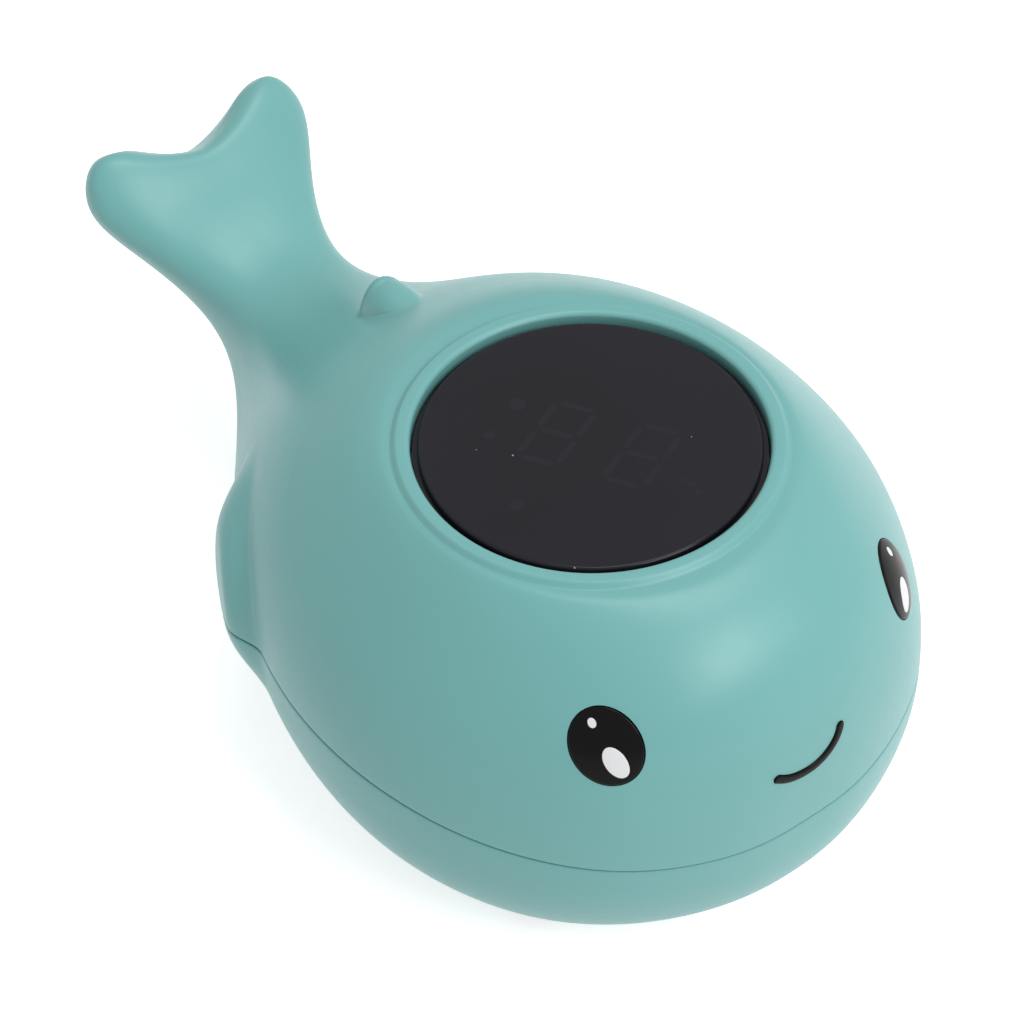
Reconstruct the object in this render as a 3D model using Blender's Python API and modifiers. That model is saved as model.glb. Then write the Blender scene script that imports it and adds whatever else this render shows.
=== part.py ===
"""Floating bath thermometer in the shape of a whale, built piece by piece.

Sizes are millimetres; MM turns them into Blender's metres. The design frame has the display's axis
at X = 0, Y = 0, the nose towards -Y and the flat belly at Z = 0. One empty carries every piece and
puts the centre of the whole length at Y = 0.
"""
import math
from collections import namedtuple

import bmesh
import bpy
import numpy as np
from mathutils import Matrix, Vector

MM = 0.001
NAME = "whale_bath_thermometer"

# Fits
FIT = 0.3
WALL = 2.4

# Body sections from the nose to the tail's rear edge, the control rows of one smooth loft
Section = namedtuple("Section", "y z lean half_width above below sweep")
SECTIONS = (
    Section(-38.3, 18.2, 0, 0, 0, 0, 0),
    Section(-38.3, 18.2, 0, 8.8, 13.5, 9.6, 0),
    Section(-32.7, 19.0, 0, 22.5, 24.6, 17.1, 0),
    Section(-21.9, 15.8, 0, 31.3, 31.2, 19.6, 0),
    Section(-8.0, 17.1, 0, 37.5, 31.3, 19.8, 0),
    Section(8.4, 20.0, 0, 37.4, 29.2, 22.8, 0),
    Section(25.1, 21.9, 0, 31.8, 25.0, 25.0, 0),
    Section(40.3, 22.4, 10, 21.3, 18.3, 20.5, 0),
    Section(51.7, 24.8, 32, 10.1, 9.8, 11.7, 0),
    Section(61.4, 25.6, 46, 7.8, 6.7, 8.4, 0),
    Section(69.6, 29.7, 54, 12.0, 5.7, 7.4, 1.3),
    Section(74.7, 34.3, 57, 16.7, 5.0, 6.3, 4.6),
    Section(75.8, 37.6, 50, 13.3, 3.7, 4.4, 5.4),
    Section(75.8, 37.6, 50, 9.2, 0, 0, 5.4),
)
ROUNDNESS = 2.3
SWEEP_POWER = 1.6
SWEEP_ROUNDING = 0.4
BODY_RINGS = 44
BODY_STEPS = 36
CAVITY_END_Y = 43.0
REACH = 200.0
FACE_RINGS = 220
FACE_STEPS = 160
SEAM_RINGS = 280
SEAM_STEPS = 240

# Flippers and dorsal fin
FLIPPER_Y = 25.1
FLIPPER_Z = 24.1
FLIPPER_LEAN = 42.5
FLIPPER_LENGTH = 26.6
FLIPPER_HEIGHT = 12.4
FLIPPER_RISE = 2.5
FLIPPER_EDGE_SHARE = 0.65
FIN_X = 0.4
FIN_Y = 37.8
FIN_Z = 39.0
FIN_WIDTH = 6.4
FIN_LENGTH = 9.4
FIN_HEIGHT = 12.4
FIN_LEAN = 12.0

# Parting line between the shells: height of the seam at stations along the body
PARTING = ((-45, 16.7), (-38, 18.0), (-30, 19.7), (-20, 20.2), (-10, 21.8), (0, 22.3),
           (10, 22.1), (20, 22.2), (30, 19.2), (45, 11.9), (60, 6.5))
SEAM_GAP = 0.3
PARTING_POINTS = 81

# Display rim, window and gasket
RIM_TOP_Z = 47.3
RIM_RADIUS = 21.5
RIM_OPENING_RADIUS = 20.0
RIM_HEIGHT = 1.0
RIM_ROUNDING = 0.5
RIM_STEPS = 56
PLATEAU_RADIUS = 24.4
PLATEAU_DROP = 3.0
WELL_WALL = 2.0
WELL_DEPTH = 11.0
LENS_RECESS = 0.6
LENS_RADIUS = 19.1
LENS_FACE_THICKNESS = 0.9
LENS_FLANGE_RADIUS = 19.65
LENS_FLANGE_THICKNESS = 1.1
GASKET_THICKNESS = 0.8
GASKET_INNER_RADIUS = 17.2
LEDGE_INNER_RADIUS = 16.8
LEDGE_THICKNESS = 1.6

# Board and display module
PCB_RADIUS = 19.6
PCB_THICKNESS = 1.6
MODULE_LENGTH = 20.0
MODULE_WIDTH = 12.8
MODULE_HEIGHT = 6.0
MODULE_SHIFT = 1.1
DIGIT_TURN = 31.0
DIGIT_PITCH = 10.0
SEGMENT_LENGTH = 3.7
SEGMENT_WIDTH = 1.1
SEGMENT_HEIGHT = 0.35
FILM_THICKNESS = 0.15
SEGMENT_SLANT = 8.0
LED_RADIUS = 1.5
LED_HEIGHT = 5.0
LED_OFFSET = 10.9
LED_SPREAD = 3.0
PCB_SCREW_CIRCLE_RADIUS = 17.4
PCB_SCREW_ANGLES = (90.0, 210.0, 330.0)
PCB_BOSS_RADIUS = 2.0
PCB_SCREW_SHANK_RADIUS = 0.8
PCB_SCREW_HEAD_RADIUS = 1.7
PCB_SCREW_HEAD_HEIGHT = 1.2
PCB_SCREW_LENGTH = 5.0
CHIP_SIZE = 9.0
CHIP_HEIGHT = 1.2
CHIP_Y = 2.0
CAPACITOR_RADIUS = 2.5
CAPACITOR_HEIGHT = 7.0
CAPACITOR_X = -10.0
CAPACITOR_Y = 5.0
CRYSTAL_RADIUS = 1.0
CRYSTAL_LENGTH = 6.0
CRYSTAL_X = 10.0
CRYSTAL_Y = 0.0

# Eyes and mouth
EYE_X = 20.55
EYE_Z = 35.4
EYE_LONG_RADIUS = 4.75
EYE_SHORT_RADIUS = 4.1
EYE_TURN = -55.0
EYE_DEPTH = 1.3
EYE_PROUD = 0.35
EYE_DOME = 0.45
LARGE_GLINT_LONG_RADIUS = 2.0
LARGE_GLINT_SHORT_RADIUS = 1.35
LARGE_GLINT_ALONG = 1.2
LARGE_GLINT_UP = -1.9
SMALL_GLINT_LONG_RADIUS = 0.8
SMALL_GLINT_SHORT_RADIUS = 0.6
SMALL_GLINT_ALONG = -2.0
SMALL_GLINT_UP = 1.9
GLINT_THICKNESS = 0.3
MOUTH_Z = 25.9
MOUTH_HALF_WIDTH = 4.9
MOUTH_RISE = 2.7
MOUTH_ROLL = 13.0
MOUTH_RADIUS = 0.45
MOUTH_SINK = 0.15

# Battery well and door
CELL_RADIUS = 5.25
CELL_LENGTH = 43.7
CELL_NUB_RADIUS = 1.9
CELL_NUB_LENGTH = 0.8
CELL_SPACING = 11.0
SPRING_LENGTH = 3.6
SPRING_RADIUS = 3.2
SPRING_TIP_RADIUS = 2.0
SPRING_WIRE_RADIUS = 0.35
SPRING_TURNS = 3
CONTACT_THICKNESS = 0.4
CONTACT_SIZE = 8.4
TAB_WIDTH = 2.0
TAB_RISE = 4.0
WELL_FRONT_Y = -22.5
WELL_SIDE_CLEARANCE = 0.55
WELL_WALL_THICKNESS = 1.5
DOOR_THICKNESS = 2.5
DOOR_RECESS = 0.2
DOOR_LIP = 2.6
DOOR_EAR_LENGTH = 5.5
DOOR_CORNER = 1.2
DOOR_EAR_HALF_WIDTH = 5.0
DOOR_FRAME_WALL = 2.4
SEAL_THICKNESS = 0.9
SEAL_WIDTH = 1.7
DOOR_SCREW_INSET = 3.0
DOOR_SCREW_SHANK_RADIUS = 1.2
DOOR_SCREW_HEAD_RADIUS = 2.3
DOOR_SCREW_HEAD_HEIGHT = 1.1
DOOR_SCREW_LENGTH = 7.0
DOOR_BOSS_RADIUS = 3.4

# Shell screws and seal
SHELL_SCREW_FRONT_X = 22.5
SHELL_SCREW_FRONT_Y = -18.5
SHELL_SCREW_REAR_X = 22.0
SHELL_SCREW_REAR_Y = 24.0
SHELL_BOSS_RADIUS = 4.4
SHELL_SCREW_HEAD_RADIUS = 2.4
SHELL_SCREW_HEAD_HEIGHT = 1.6
SHELL_SCREW_SHANK_RADIUS = 1.3
SHELL_SCREW_SEAT_Z = 12.0
SHELL_SCREW_LENGTH = 22.0
SHELL_SCREW_TIP = 2.0
SEAL_CORD_RADIUS = 0.4
SEAL_POINTS = 64

# Temperature probe and water contacts
PROBE_X = 21.0
PROBE_Y = -3.0
PROBE_RADIUS = 2.8
PROBE_WALL = 0.5
PROBE_FLANGE_RADIUS = 3.8
PROBE_FLANGE_Z = 4.6
PROBE_FLANGE_THICKNESS = 0.8
PROBE_RECESS = 0.3
THERMISTOR_RADIUS = 1.2
PIN_X = -19.8
PIN_Y = -3.0
PIN_PITCH = 8.0
PIN_RADIUS = 0.9
PIN_HEAD_RADIUS = 1.7
PIN_HEAD_HEIGHT = 0.6
PIN_LENGTH = 6.0
WIRE_RADIUS = 0.45
LEAD_SPREAD = 0.7

PARTS = None
CUTTERS = None
FRAME = None


def clear_scene():
    for obj in list(bpy.data.objects):
        bpy.data.objects.remove(obj, do_unlink=True)


def make_collections():
    global PARTS, CUTTERS, FRAME
    PARTS = bpy.data.collections.new(NAME)
    CUTTERS = bpy.data.collections.new(NAME + "_cutters")
    bpy.context.scene.collection.children.link(PARTS)
    bpy.context.scene.collection.children.link(CUTTERS)
    FRAME = bpy.data.objects.new("whale_frame", None)
    PARTS.objects.link(FRAME)


def finish(name, colour, roughness, metallic=0.0):
    """One Principled BSDF material with a plain colour."""
    material = bpy.data.materials.new(name)
    material.use_nodes = True
    shader = material.node_tree.nodes["Principled BSDF"]
    shader.inputs["Base Color"].default_value = (*colour, 1.0)
    shader.inputs["Roughness"].default_value = roughness
    shader.inputs["Metallic"].default_value = metallic
    material.diffuse_color = (*colour, 1.0)
    return material


def teal_plastic():
    return finish("teal_plastic", (0.22, 0.50, 0.48), 0.38)


def smoked_acrylic():
    return finish("smoked_acrylic", (0.02, 0.02, 0.024), 0.06)


def gloss_black():
    return finish("gloss_black", (0.012, 0.012, 0.014), 0.12)


def white_plastic():
    return finish("white_plastic", (0.80, 0.80, 0.81), 0.25)


def black_foam():
    return finish("black_foam", (0.03, 0.03, 0.03), 0.9)


def silicone():
    return finish("silicone", (0.62, 0.63, 0.62), 0.55)


def zinc_steel():
    return finish("zinc_steel", (0.62, 0.63, 0.64), 0.32, 1.0)


def nickel_contact():
    return finish("nickel_contact", (0.70, 0.68, 0.64), 0.25, 1.0)


def board_green():
    return finish("board_green", (0.02, 0.17, 0.07), 0.4)


def chip_black():
    return finish("chip_black", (0.025, 0.025, 0.028), 0.6)


def segment_grey():
    return finish("segment_grey", (0.34, 0.34, 0.33), 0.5)


def red_lens():
    return finish("red_lens", (0.45, 0.03, 0.03), 0.2)


def blue_lens():
    return finish("blue_lens", (0.05, 0.12, 0.45), 0.2)


def cell_wrap():
    return finish("cell_wrap", (0.10, 0.22, 0.12), 0.3)


def red_lead():
    return finish("red_lead", (0.45, 0.03, 0.02), 0.5)


def black_lead():
    return finish("black_lead", (0.02, 0.02, 0.02), 0.5)


def place(name, mesh, material=None, collection=None):
    """Link a mesh as an object carried by the frame; a cutter gets no material."""
    obj = bpy.data.objects.new(name, mesh)
    (collection or (PARTS if material else CUTTERS)).objects.link(obj)
    obj.parent = FRAME
    if material:
        obj.data.materials.append(material)
    else:
        obj.hide_render = True
        obj.display_type = "WIRE"
    return obj


def smooth(obj, angle=35.0):
    obj.data.shade_smooth()
    obj.data.set_sharp_from_angle(angle=math.radians(angle))
    return obj


def cylinder(name, radius, low, high, x=0.0, y=0.0, material=None, segments=32):
    """Upright cylinder from height low to height high."""
    mesh = bpy.data.meshes.new(name)
    bm = bmesh.new()
    bmesh.ops.create_cone(bm, cap_ends=True, segments=segments, radius1=radius * MM,
                          radius2=radius * MM, depth=(high - low) * MM)
    bm.to_mesh(mesh)
    bm.free()
    obj = place(name, mesh, material)
    obj.location = (x * MM, y * MM, 0.5 * (low + high) * MM)
    return smooth(obj)


def box(name, size, centre, material=None, bevel=0.0):
    """Box of a size (x, y, z) about a centre, with rounded edges where a bevel is given."""
    mesh = bpy.data.meshes.new(name)
    bm = bmesh.new()
    bmesh.ops.create_cube(bm, size=1.0, matrix=Matrix.Diagonal([s * MM for s in size]).to_4x4())
    bm.to_mesh(mesh)
    bm.free()
    obj = place(name, mesh, material)
    obj.location = Vector(centre) * MM
    if bevel:
        rounding = obj.modifiers.new("rounding", "BEVEL")
        rounding.width = bevel * MM
        rounding.segments = 2
    return obj


def turned(name, profile, material=None, steps=40):
    """Solid of revolution about Z; the profile (radius, height) runs down its outer side."""
    mesh = bpy.data.meshes.new(name)
    points = [(radius * MM, 0.0, height * MM) for radius, height in profile]
    touches_axis = profile[0][0] == 0.0
    edges = [(i, i + 1) for i in range(len(points) - 1)]
    if not touches_axis:
        edges.append((len(points) - 1, 0))
    mesh.from_pydata(points, edges, [])
    obj = place(name, mesh, material)
    screw = obj.modifiers.new("turn", "SCREW")
    screw.steps = steps
    screw.render_steps = steps
    screw.use_merge_vertices = True
    screw.merge_threshold = 0.00001
    screw.use_smooth_shade = False
    return obj


def curve_object(name, points, radius, resolution, cyclic, material):
    """Round wire along points, a polyline curve with a bevel."""
    curve = bpy.data.curves.new(name, "CURVE")
    curve.dimensions = "3D"
    curve.bevel_depth = radius * MM
    curve.bevel_resolution = resolution
    curve.use_fill_caps = not cyclic
    run = curve.splines.new("POLY")
    run.points.add(len(points) - 1)
    for slot, point in zip(run.points, points):
        slot.co = (point[0] * MM, point[1] * MM, point[2] * MM, 1.0)
    run.use_cyclic_u = cyclic
    obj = bpy.data.objects.new(name, curve)
    (PARTS if material else CUTTERS).objects.link(obj)
    obj.parent = FRAME
    if material:
        curve.materials.append(material)
    return obj


def wire(name, points, radius, material, resolution=1):
    return curve_object(name, points, radius, resolution, False, material)


def as_mesh(source, name, material=None):
    """Turn a curve object into a closed mesh object in the same place."""
    graph = bpy.context.evaluated_depsgraph_get()
    mesh = bpy.data.meshes.new_from_object(source.evaluated_get(graph))
    bm = bmesh.new()
    bm.from_mesh(mesh)
    bmesh.ops.remove_doubles(bm, verts=bm.verts, dist=0.000001)
    bm.to_mesh(mesh)
    bm.free()
    mesh.materials.clear()
    curve = source.data
    turn = source.matrix_world.copy()
    bpy.data.objects.remove(source, do_unlink=True)
    bpy.data.curves.remove(curve)
    obj = place(name, mesh, material)
    obj.matrix_world = turn
    return obj


def flat_shape(name, outlines, low, high, material=None):
    """Flat plate in XY between two heights, from closed outlines; a second outline is a hole."""
    curve = bpy.data.curves.new(name + "_outline", "CURVE")
    curve.dimensions = "2D"
    curve.fill_mode = "BOTH"
    curve.extrude = 0.5 * (high - low) * MM
    for outline in outlines:
        run = curve.splines.new("POLY")
        run.points.add(len(outline) - 1)
        for slot, point in zip(run.points, outline):
            slot.co = (point[0] * MM, point[1] * MM, 0.0, 1.0)
        run.use_cyclic_u = True
    source = bpy.data.objects.new(name + "_outline", curve)
    CUTTERS.objects.link(source)
    source.parent = FRAME
    source.location.z = 0.5 * (low + high) * MM
    bpy.context.view_layer.update()
    return as_mesh(source, name, material)


def boolean(target, other, operation):
    step = target.modifiers.new(other.name, "BOOLEAN")
    step.operation = operation
    step.solver = "EXACT"
    step.object = other


def cut(target, *cutters):
    for cutter in cutters:
        boolean(target, cutter, "DIFFERENCE")


def join(target, *others):
    for other in others:
        boolean(target, other, "UNION")


def keep(target, region):
    boolean(target, region, "INTERSECT")


def baked_mesh(obj, name):
    """The object's mesh with its modifiers applied, as new mesh data."""
    graph = bpy.context.evaluated_depsgraph_get()
    mesh = bpy.data.meshes.new_from_object(obj.evaluated_get(graph))
    mesh.name = name
    mesh.materials.clear()
    return mesh


def bspline(rows, samples):
    """Uniform cubic B-spline through control rows, its ends on the first and last row."""
    rows = np.asarray(rows, float)
    rows = np.vstack([2 * rows[0] - rows[1], rows, 2 * rows[-1] - rows[-2]])
    spans = len(rows) - 3
    along = np.linspace(0.0, spans, samples)
    first = np.minimum(along.astype(int), spans - 1)
    f = (along - first)[:, None]
    weights = ((1 - f) ** 3 / 6, (3 * f ** 3 - 6 * f ** 2 + 4) / 6,
               (-3 * f ** 3 + 3 * f ** 2 + 3 * f + 1) / 6, f ** 3 / 6)
    return sum(weight * rows[first + k] for k, weight in enumerate(weights))


def swept(reach):
    """Share of the sweep at a reach from the middle: a power that levels off towards the tips."""
    past = np.maximum(0.0, (reach - 1.0 + SWEEP_ROUNDING) / SWEEP_ROUNDING)
    return reach ** SWEEP_POWER - SWEEP_POWER * SWEEP_ROUNDING / 3.0 * past ** 3


def body_grid(rings, around):
    """Outer surface of the whale as rings of points: superellipse sections along the loft."""
    y, z, lean, half_width, above, below, sweep = bspline(SECTIONS, rings).T[:, :, None]
    turn = np.linspace(0.0, 2 * math.pi, around, endpoint=False)[None, :]
    power = 2.0 / ROUNDNESS
    across = np.sign(np.cos(turn)) * np.abs(np.cos(turn)) ** power
    upward = np.sign(np.sin(turn)) * np.abs(np.sin(turn)) ** power
    lean = np.radians(lean)
    height = np.where(upward > 0, above, below) * upward
    shift = sweep * swept(np.abs(across))
    return np.stack([half_width * across,
                     y - np.sin(lean) * height + np.cos(lean) * shift,
                     z + np.cos(lean) * height + np.sin(lean) * shift], -1)


def grid_normals(grid):
    """Outward unit normals of a grid of rings, from central differences."""
    along = np.gradient(grid, axis=0)
    about = 0.5 * (np.roll(grid, -1, axis=1) - np.roll(grid, 1, axis=1))
    normal = np.cross(along, about)
    length = np.linalg.norm(normal, axis=-1, keepdims=True)
    normal = normal / np.maximum(length, 1e-9)
    normal[0] = (0.0, -1.0, 0.0)
    return normal


def with_flippers(grid):
    """Raise a leaning oval lobe on each flank, level inside and soft at its edge."""
    lean = math.radians(FLIPPER_LEAN)
    y, z = grid[..., 1] - FLIPPER_Y, grid[..., 2] - FLIPPER_Z
    length = (y * math.cos(lean) + z * math.sin(lean)) / (0.5 * FLIPPER_LENGTH)
    height = (y * math.sin(lean) - z * math.cos(lean)) / (0.5 * FLIPPER_HEIGHT)
    inside = np.clip((1.0 - np.hypot(length, height)) / FLIPPER_EDGE_SHARE, 0.0, 1.0)
    flank = np.clip((np.abs(grid[..., 0]) - 0.5 * WALL) / (0.5 * FLIPPER_HEIGHT), 0.0, 1.0)
    rise = FLIPPER_RISE * flank * inside * inside * (3.0 - 2.0 * inside)
    return grid + rise[..., None] * grid_normals(grid)


def grid_mesh(name, grid, cap_end=False):
    """Closed triangle mesh of a grid of rings; equal points merge, so a pole or edge closes."""
    rings, around = grid.shape[:2]
    mesh = bpy.data.meshes.new(name)
    faces = [(i * around + j, (i + 1) * around + j, (i + 1) * around + (j + 1) % around,
              i * around + (j + 1) % around) for i in range(rings - 1) for j in range(around)]
    if cap_end:
        faces.append(tuple((rings - 1) * around + j for j in range(around)))
    mesh.from_pydata((grid.reshape(-1, 3) * MM).tolist(), [], faces)
    bm = bmesh.new()
    bm.from_mesh(mesh)
    bmesh.ops.remove_doubles(bm, verts=bm.verts, dist=0.00001)
    bmesh.ops.recalc_face_normals(bm, faces=bm.faces)
    bmesh.ops.triangulate(bm, faces=bm.faces)
    bm.to_mesh(mesh)
    bm.free()
    return mesh


def surface_point(x, z):
    """Point and outward normal of the body in front of the display, at a given x and height."""
    grid = body_grid(FACE_RINGS, FACE_STEPS)
    normals = grid_normals(grid)
    far = (grid[..., 0] - x) ** 2 + (grid[..., 2] - z) ** 2 + 1e6 * (grid[..., 1] > 0)
    ring, spoke = np.unravel_index(np.argmin(far), far.shape)
    normal = normals[ring, spoke]
    point = grid[ring, spoke]
    offset = (x - point[0]) * normal[0] + (z - point[2]) * normal[2]
    return Vector((x, point[1] - offset / normal[1], z)), Vector(normal).normalized()


def parting_height(y):
    """Height of the seam at a station, smoothed between its named stations."""
    stations = np.array(PARTING, float)
    fine = bspline(stations, 200)
    return np.interp(y, fine[:, 0], fine[:, 1])


def parting_region(name, side):
    """Everything above (side 1) or below (side -1) the seam surface, less half the seam gap."""
    stations = np.linspace(-0.5 * REACH, 0.5 * REACH, PARTING_POINTS)
    seam = [(y, parting_height(y) + 0.5 * side * SEAM_GAP) for y in stations]
    limit = 0.5 * side * REACH
    outline = seam + [(stations[-1], limit), (stations[0], limit)]
    mesh = bpy.data.meshes.new(name)
    bm = bmesh.new()
    ring = [bm.verts.new((-0.5 * REACH * MM, y * MM, z * MM)) for y, z in outline]
    face = bm.faces.new(ring)
    moved = bmesh.ops.extrude_face_region(bm, geom=[face])["geom"]
    bmesh.ops.translate(bm, vec=(REACH * MM, 0, 0),
                        verts=[item for item in moved if isinstance(item, bmesh.types.BMVert)])
    bmesh.ops.triangulate(bm, faces=bm.faces)
    bmesh.ops.recalc_face_normals(bm, faces=bm.faces)
    bm.to_mesh(mesh)
    bm.free()
    return place(name, mesh)


def seam_path(inset):
    """Closed path round the seam, at a depth under the outer surface."""
    grid = with_flippers(body_grid(SEAM_RINGS, SEAM_STEPS))
    grid = grid - inset * grid_normals(grid)
    half = np.roll(grid, SEAM_STEPS // 4, axis=1)[:, 1:SEAM_STEPS // 2]
    over = half[..., 2] - parting_height(half[..., 1])
    points = []
    for ring, height in zip(half, over):
        crossing = np.nonzero((height[:-1] < 0) & (height[1:] >= 0))[0]
        if len(crossing) and ring[0, 1] < CAVITY_END_Y + WALL:
            k = crossing[0]
            part = height[k] / (height[k] - height[k + 1])
            points.append(ring[k] + part * (ring[k + 1] - ring[k]))
    side = np.array(points)
    loop = np.vstack([side, side[::-1] * (-1.0, 1.0, 1.0)])
    closed = np.vstack([loop, loop[:1]])
    run = np.concatenate([[0.0], np.cumsum(np.linalg.norm(np.diff(closed, axis=0), axis=1))])
    even = np.linspace(0.0, run[-1], SEAL_POINTS, endpoint=False)
    return np.stack([np.interp(even, run, closed[:, k]) for k in range(3)], -1)


def ledge_top():
    return (RIM_TOP_Z - LENS_RECESS - LENS_FACE_THICKNESS - LENS_FLANGE_THICKNESS
            - GASKET_THICKNESS - 2 * FIT)


def lens_bottom():
    return RIM_TOP_Z - LENS_RECESS - LENS_FACE_THICKNESS - LENS_FLANGE_THICKNESS


def module_top():
    return lens_bottom() - 1.0


def pcb_top():
    return module_top() - MODULE_HEIGHT - FIT


def door_inner():
    return DOOR_RECESS + DOOR_THICKNESS


def door_ledge():
    return door_inner() + SEAL_THICKNESS + 2 * FIT


def cell_z():
    return door_inner() + FIT + CELL_RADIUS


def well_half_width():
    return 0.5 * CELL_SPACING + CELL_RADIUS + WELL_SIDE_CLEARANCE


def well_length():
    return (2 * CONTACT_THICKNESS + SPRING_LENGTH + CELL_LENGTH + CELL_NUB_LENGTH + 5 * FIT)


def well_rear_y():
    return WELL_FRONT_Y + well_length()


def well_ceiling():
    return cell_z() + CELL_RADIUS + 0.4


def door_outline(grow):
    """Door seen from above, grown by a clearance: a rectangle with a narrow ear for its screw."""
    wide = well_half_width() + DOOR_LIP + grow
    narrow = DOOR_EAR_HALF_WIDTH + grow
    front = WELL_FRONT_Y - DOOR_LIP - grow
    rear = well_rear_y() + DOOR_LIP + grow
    tip = front - DOOR_EAR_LENGTH
    corner = DOOR_CORNER
    right = [(-narrow, front), (-narrow, tip + corner), (corner - narrow, tip)]
    right = [(-wide, rear - corner), (-wide, front + 2 * corner), (corner - wide, front + corner)] + right
    left = [(-x, y) for x, y in reversed(right)]
    return right + left + [(wide - corner, rear), (corner - wide, rear)]


def plan_box(name, half_width, front, rear, low, high):
    size = (2 * half_width, rear - front, high - low)
    centre = (0.0, 0.5 * (front + rear), 0.5 * (low + high))
    return box(name, size, centre)


def shell_screw_places():
    return (("front_right", -SHELL_SCREW_FRONT_X, SHELL_SCREW_FRONT_Y),
            ("front_left", SHELL_SCREW_FRONT_X, SHELL_SCREW_FRONT_Y),
            ("rear_right", -SHELL_SCREW_REAR_X, SHELL_SCREW_REAR_Y),
            ("rear_left", SHELL_SCREW_REAR_X, SHELL_SCREW_REAR_Y))


def pcb_screw_places():
    for angle in PCB_SCREW_ANGLES:
        yield (PCB_SCREW_CIRCLE_RADIUS * math.cos(math.radians(angle)),
               PCB_SCREW_CIRCLE_RADIUS * math.sin(math.radians(angle)))


def outer_form():
    """Closed outer skin: the loft with its flippers, flattened at the belly."""
    outer = place("outer_form", grid_mesh("outer_form", with_flippers(
        body_grid(BODY_RINGS, BODY_STEPS))))
    cut(outer, box("belly_cut", (REACH, REACH, REACH), (0, 0, -0.5 * REACH)))
    return outer


def inner_core():
    """What is hollow inside: the offset loft less the well walls, bosses and the door frame."""
    grid = body_grid(BODY_RINGS, BODY_STEPS)
    inner = grid - WALL * grid_normals(grid)
    rings = [k for k in range(BODY_RINGS) if grid[k, :, 1].mean() < CAVITY_END_Y]
    core = place("inner_core", grid_mesh("inner_core", inner[rings], cap_end=True))
    cut(core, box("belly_floor", (REACH, REACH, REACH), (0, 0, WALL - 0.5 * REACH)))
    well_radius = RIM_OPENING_RADIUS + WELL_WALL
    cut(core, cylinder("display_well_block", well_radius, RIM_TOP_Z - WELL_DEPTH,
                       RIM_TOP_Z + 0.7 * WELL_DEPTH, segments=64))
    cut(core, flat_shape("door_frame_block", [door_outline(FIT + DOOR_FRAME_WALL)], -8,
                         door_ledge() + DOOR_FRAME_WALL))
    cut(core, plan_box("battery_block", well_half_width() + WELL_WALL_THICKNESS,
                       WELL_FRONT_Y - WELL_WALL_THICKNESS, well_rear_y() + WELL_WALL_THICKNESS,
                       -7, well_ceiling() + WELL_WALL_THICKNESS))
    cut(core, cylinder("door_boss_block", DOOR_BOSS_RADIUS, -6,
                       DOOR_SCREW_LENGTH + DOOR_FRAME_WALL + 1.0, 0, door_screw_y()))
    for label, x, y in shell_screw_places():
        cut(core, cylinder("boss_block_" + label, SHELL_BOSS_RADIUS, -9, RIM_TOP_Z + WELL_DEPTH, x, y,
                           segments=24))
    return core


def door_screw_y():
    return WELL_FRONT_Y - DOOR_LIP - DOOR_EAR_LENGTH + DOOR_SCREW_INSET


def rim_solid():
    """Raised display rim and the flat plateau round it, down to the well's ledge."""
    top = RIM_TOP_Z
    plateau = top - RIM_HEIGHT
    inside = RIM_OPENING_RADIUS
    low = top - WELL_DEPTH
    profile = [
        (inside + 0.3, top), (RIM_RADIUS - RIM_ROUNDING, top),
        (RIM_RADIUS - 0.3 * RIM_ROUNDING, top - 0.3 * RIM_ROUNDING),
        (RIM_RADIUS, top - RIM_ROUNDING), (RIM_RADIUS, plateau), (PLATEAU_RADIUS - 0.6, plateau),
        (PLATEAU_RADIUS, plateau - 0.4), (PLATEAU_RADIUS + 0.5, plateau - PLATEAU_DROP),
        (inside + WELL_WALL - 0.4, plateau - PLATEAU_DROP - 1.0), (inside + WELL_WALL - 0.4, low + 1),
        (inside + 0.4, low + 1), (inside + 0.4, ledge_top() - LEDGE_THICKNESS),
        (LEDGE_INNER_RADIUS, ledge_top() - LEDGE_THICKNESS), (LEDGE_INNER_RADIUS, ledge_top()),
        (inside, ledge_top()), (inside, top - 0.3),
    ]
    return turned("rim_solid", profile, steps=RIM_STEPS)


def eye_frame(side):
    """Matrix at an eye: Z along the skin's normal, X along the oval's long axis."""
    point, normal = surface_point(side * EYE_X, EYE_Z)
    level = normal.cross(Vector((0, 0, 1))).normalized()
    if level.y > 0:
        level = -level
    up = level.cross(normal)
    if up.z < 0:
        up = -up
    turn = math.radians(EYE_TURN)
    long_axis = (math.cos(turn) * level + math.sin(turn) * up).normalized()
    short_axis = normal.cross(long_axis)
    basis = Matrix((long_axis, short_axis, normal)).transposed().to_4x4()
    return Matrix.Translation(point * MM) @ basis, level, up, normal


def oval(name, frame, long_radius, short_radius, profile, material=None, steps=32):
    """Turned pad stretched to an oval and set in a frame; the profile's radius is a share of 1."""
    pad = turned(name + "_turned", profile, steps=steps)
    bpy.context.view_layer.update()
    mesh = baked_mesh(pad, name)
    source = pad.data
    bpy.data.objects.remove(pad, do_unlink=True)
    bpy.data.meshes.remove(source)
    mesh.transform(Matrix.Diagonal((long_radius, short_radius, 1.0, 1.0)))
    obj = place(name, mesh, material)
    obj.matrix_local = frame
    return smooth(obj)


def eye_cutter(side, label):
    frame, *_ = eye_frame(side)
    profile = [(0.0, 6.0), (1.0, 6.0), (1.0, -EYE_DEPTH), (0.0, -EYE_DEPTH)]
    return oval("eye_recess_" + label, frame, EYE_LONG_RADIUS + FIT, EYE_SHORT_RADIUS + FIT,
                profile, steps=40)


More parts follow.
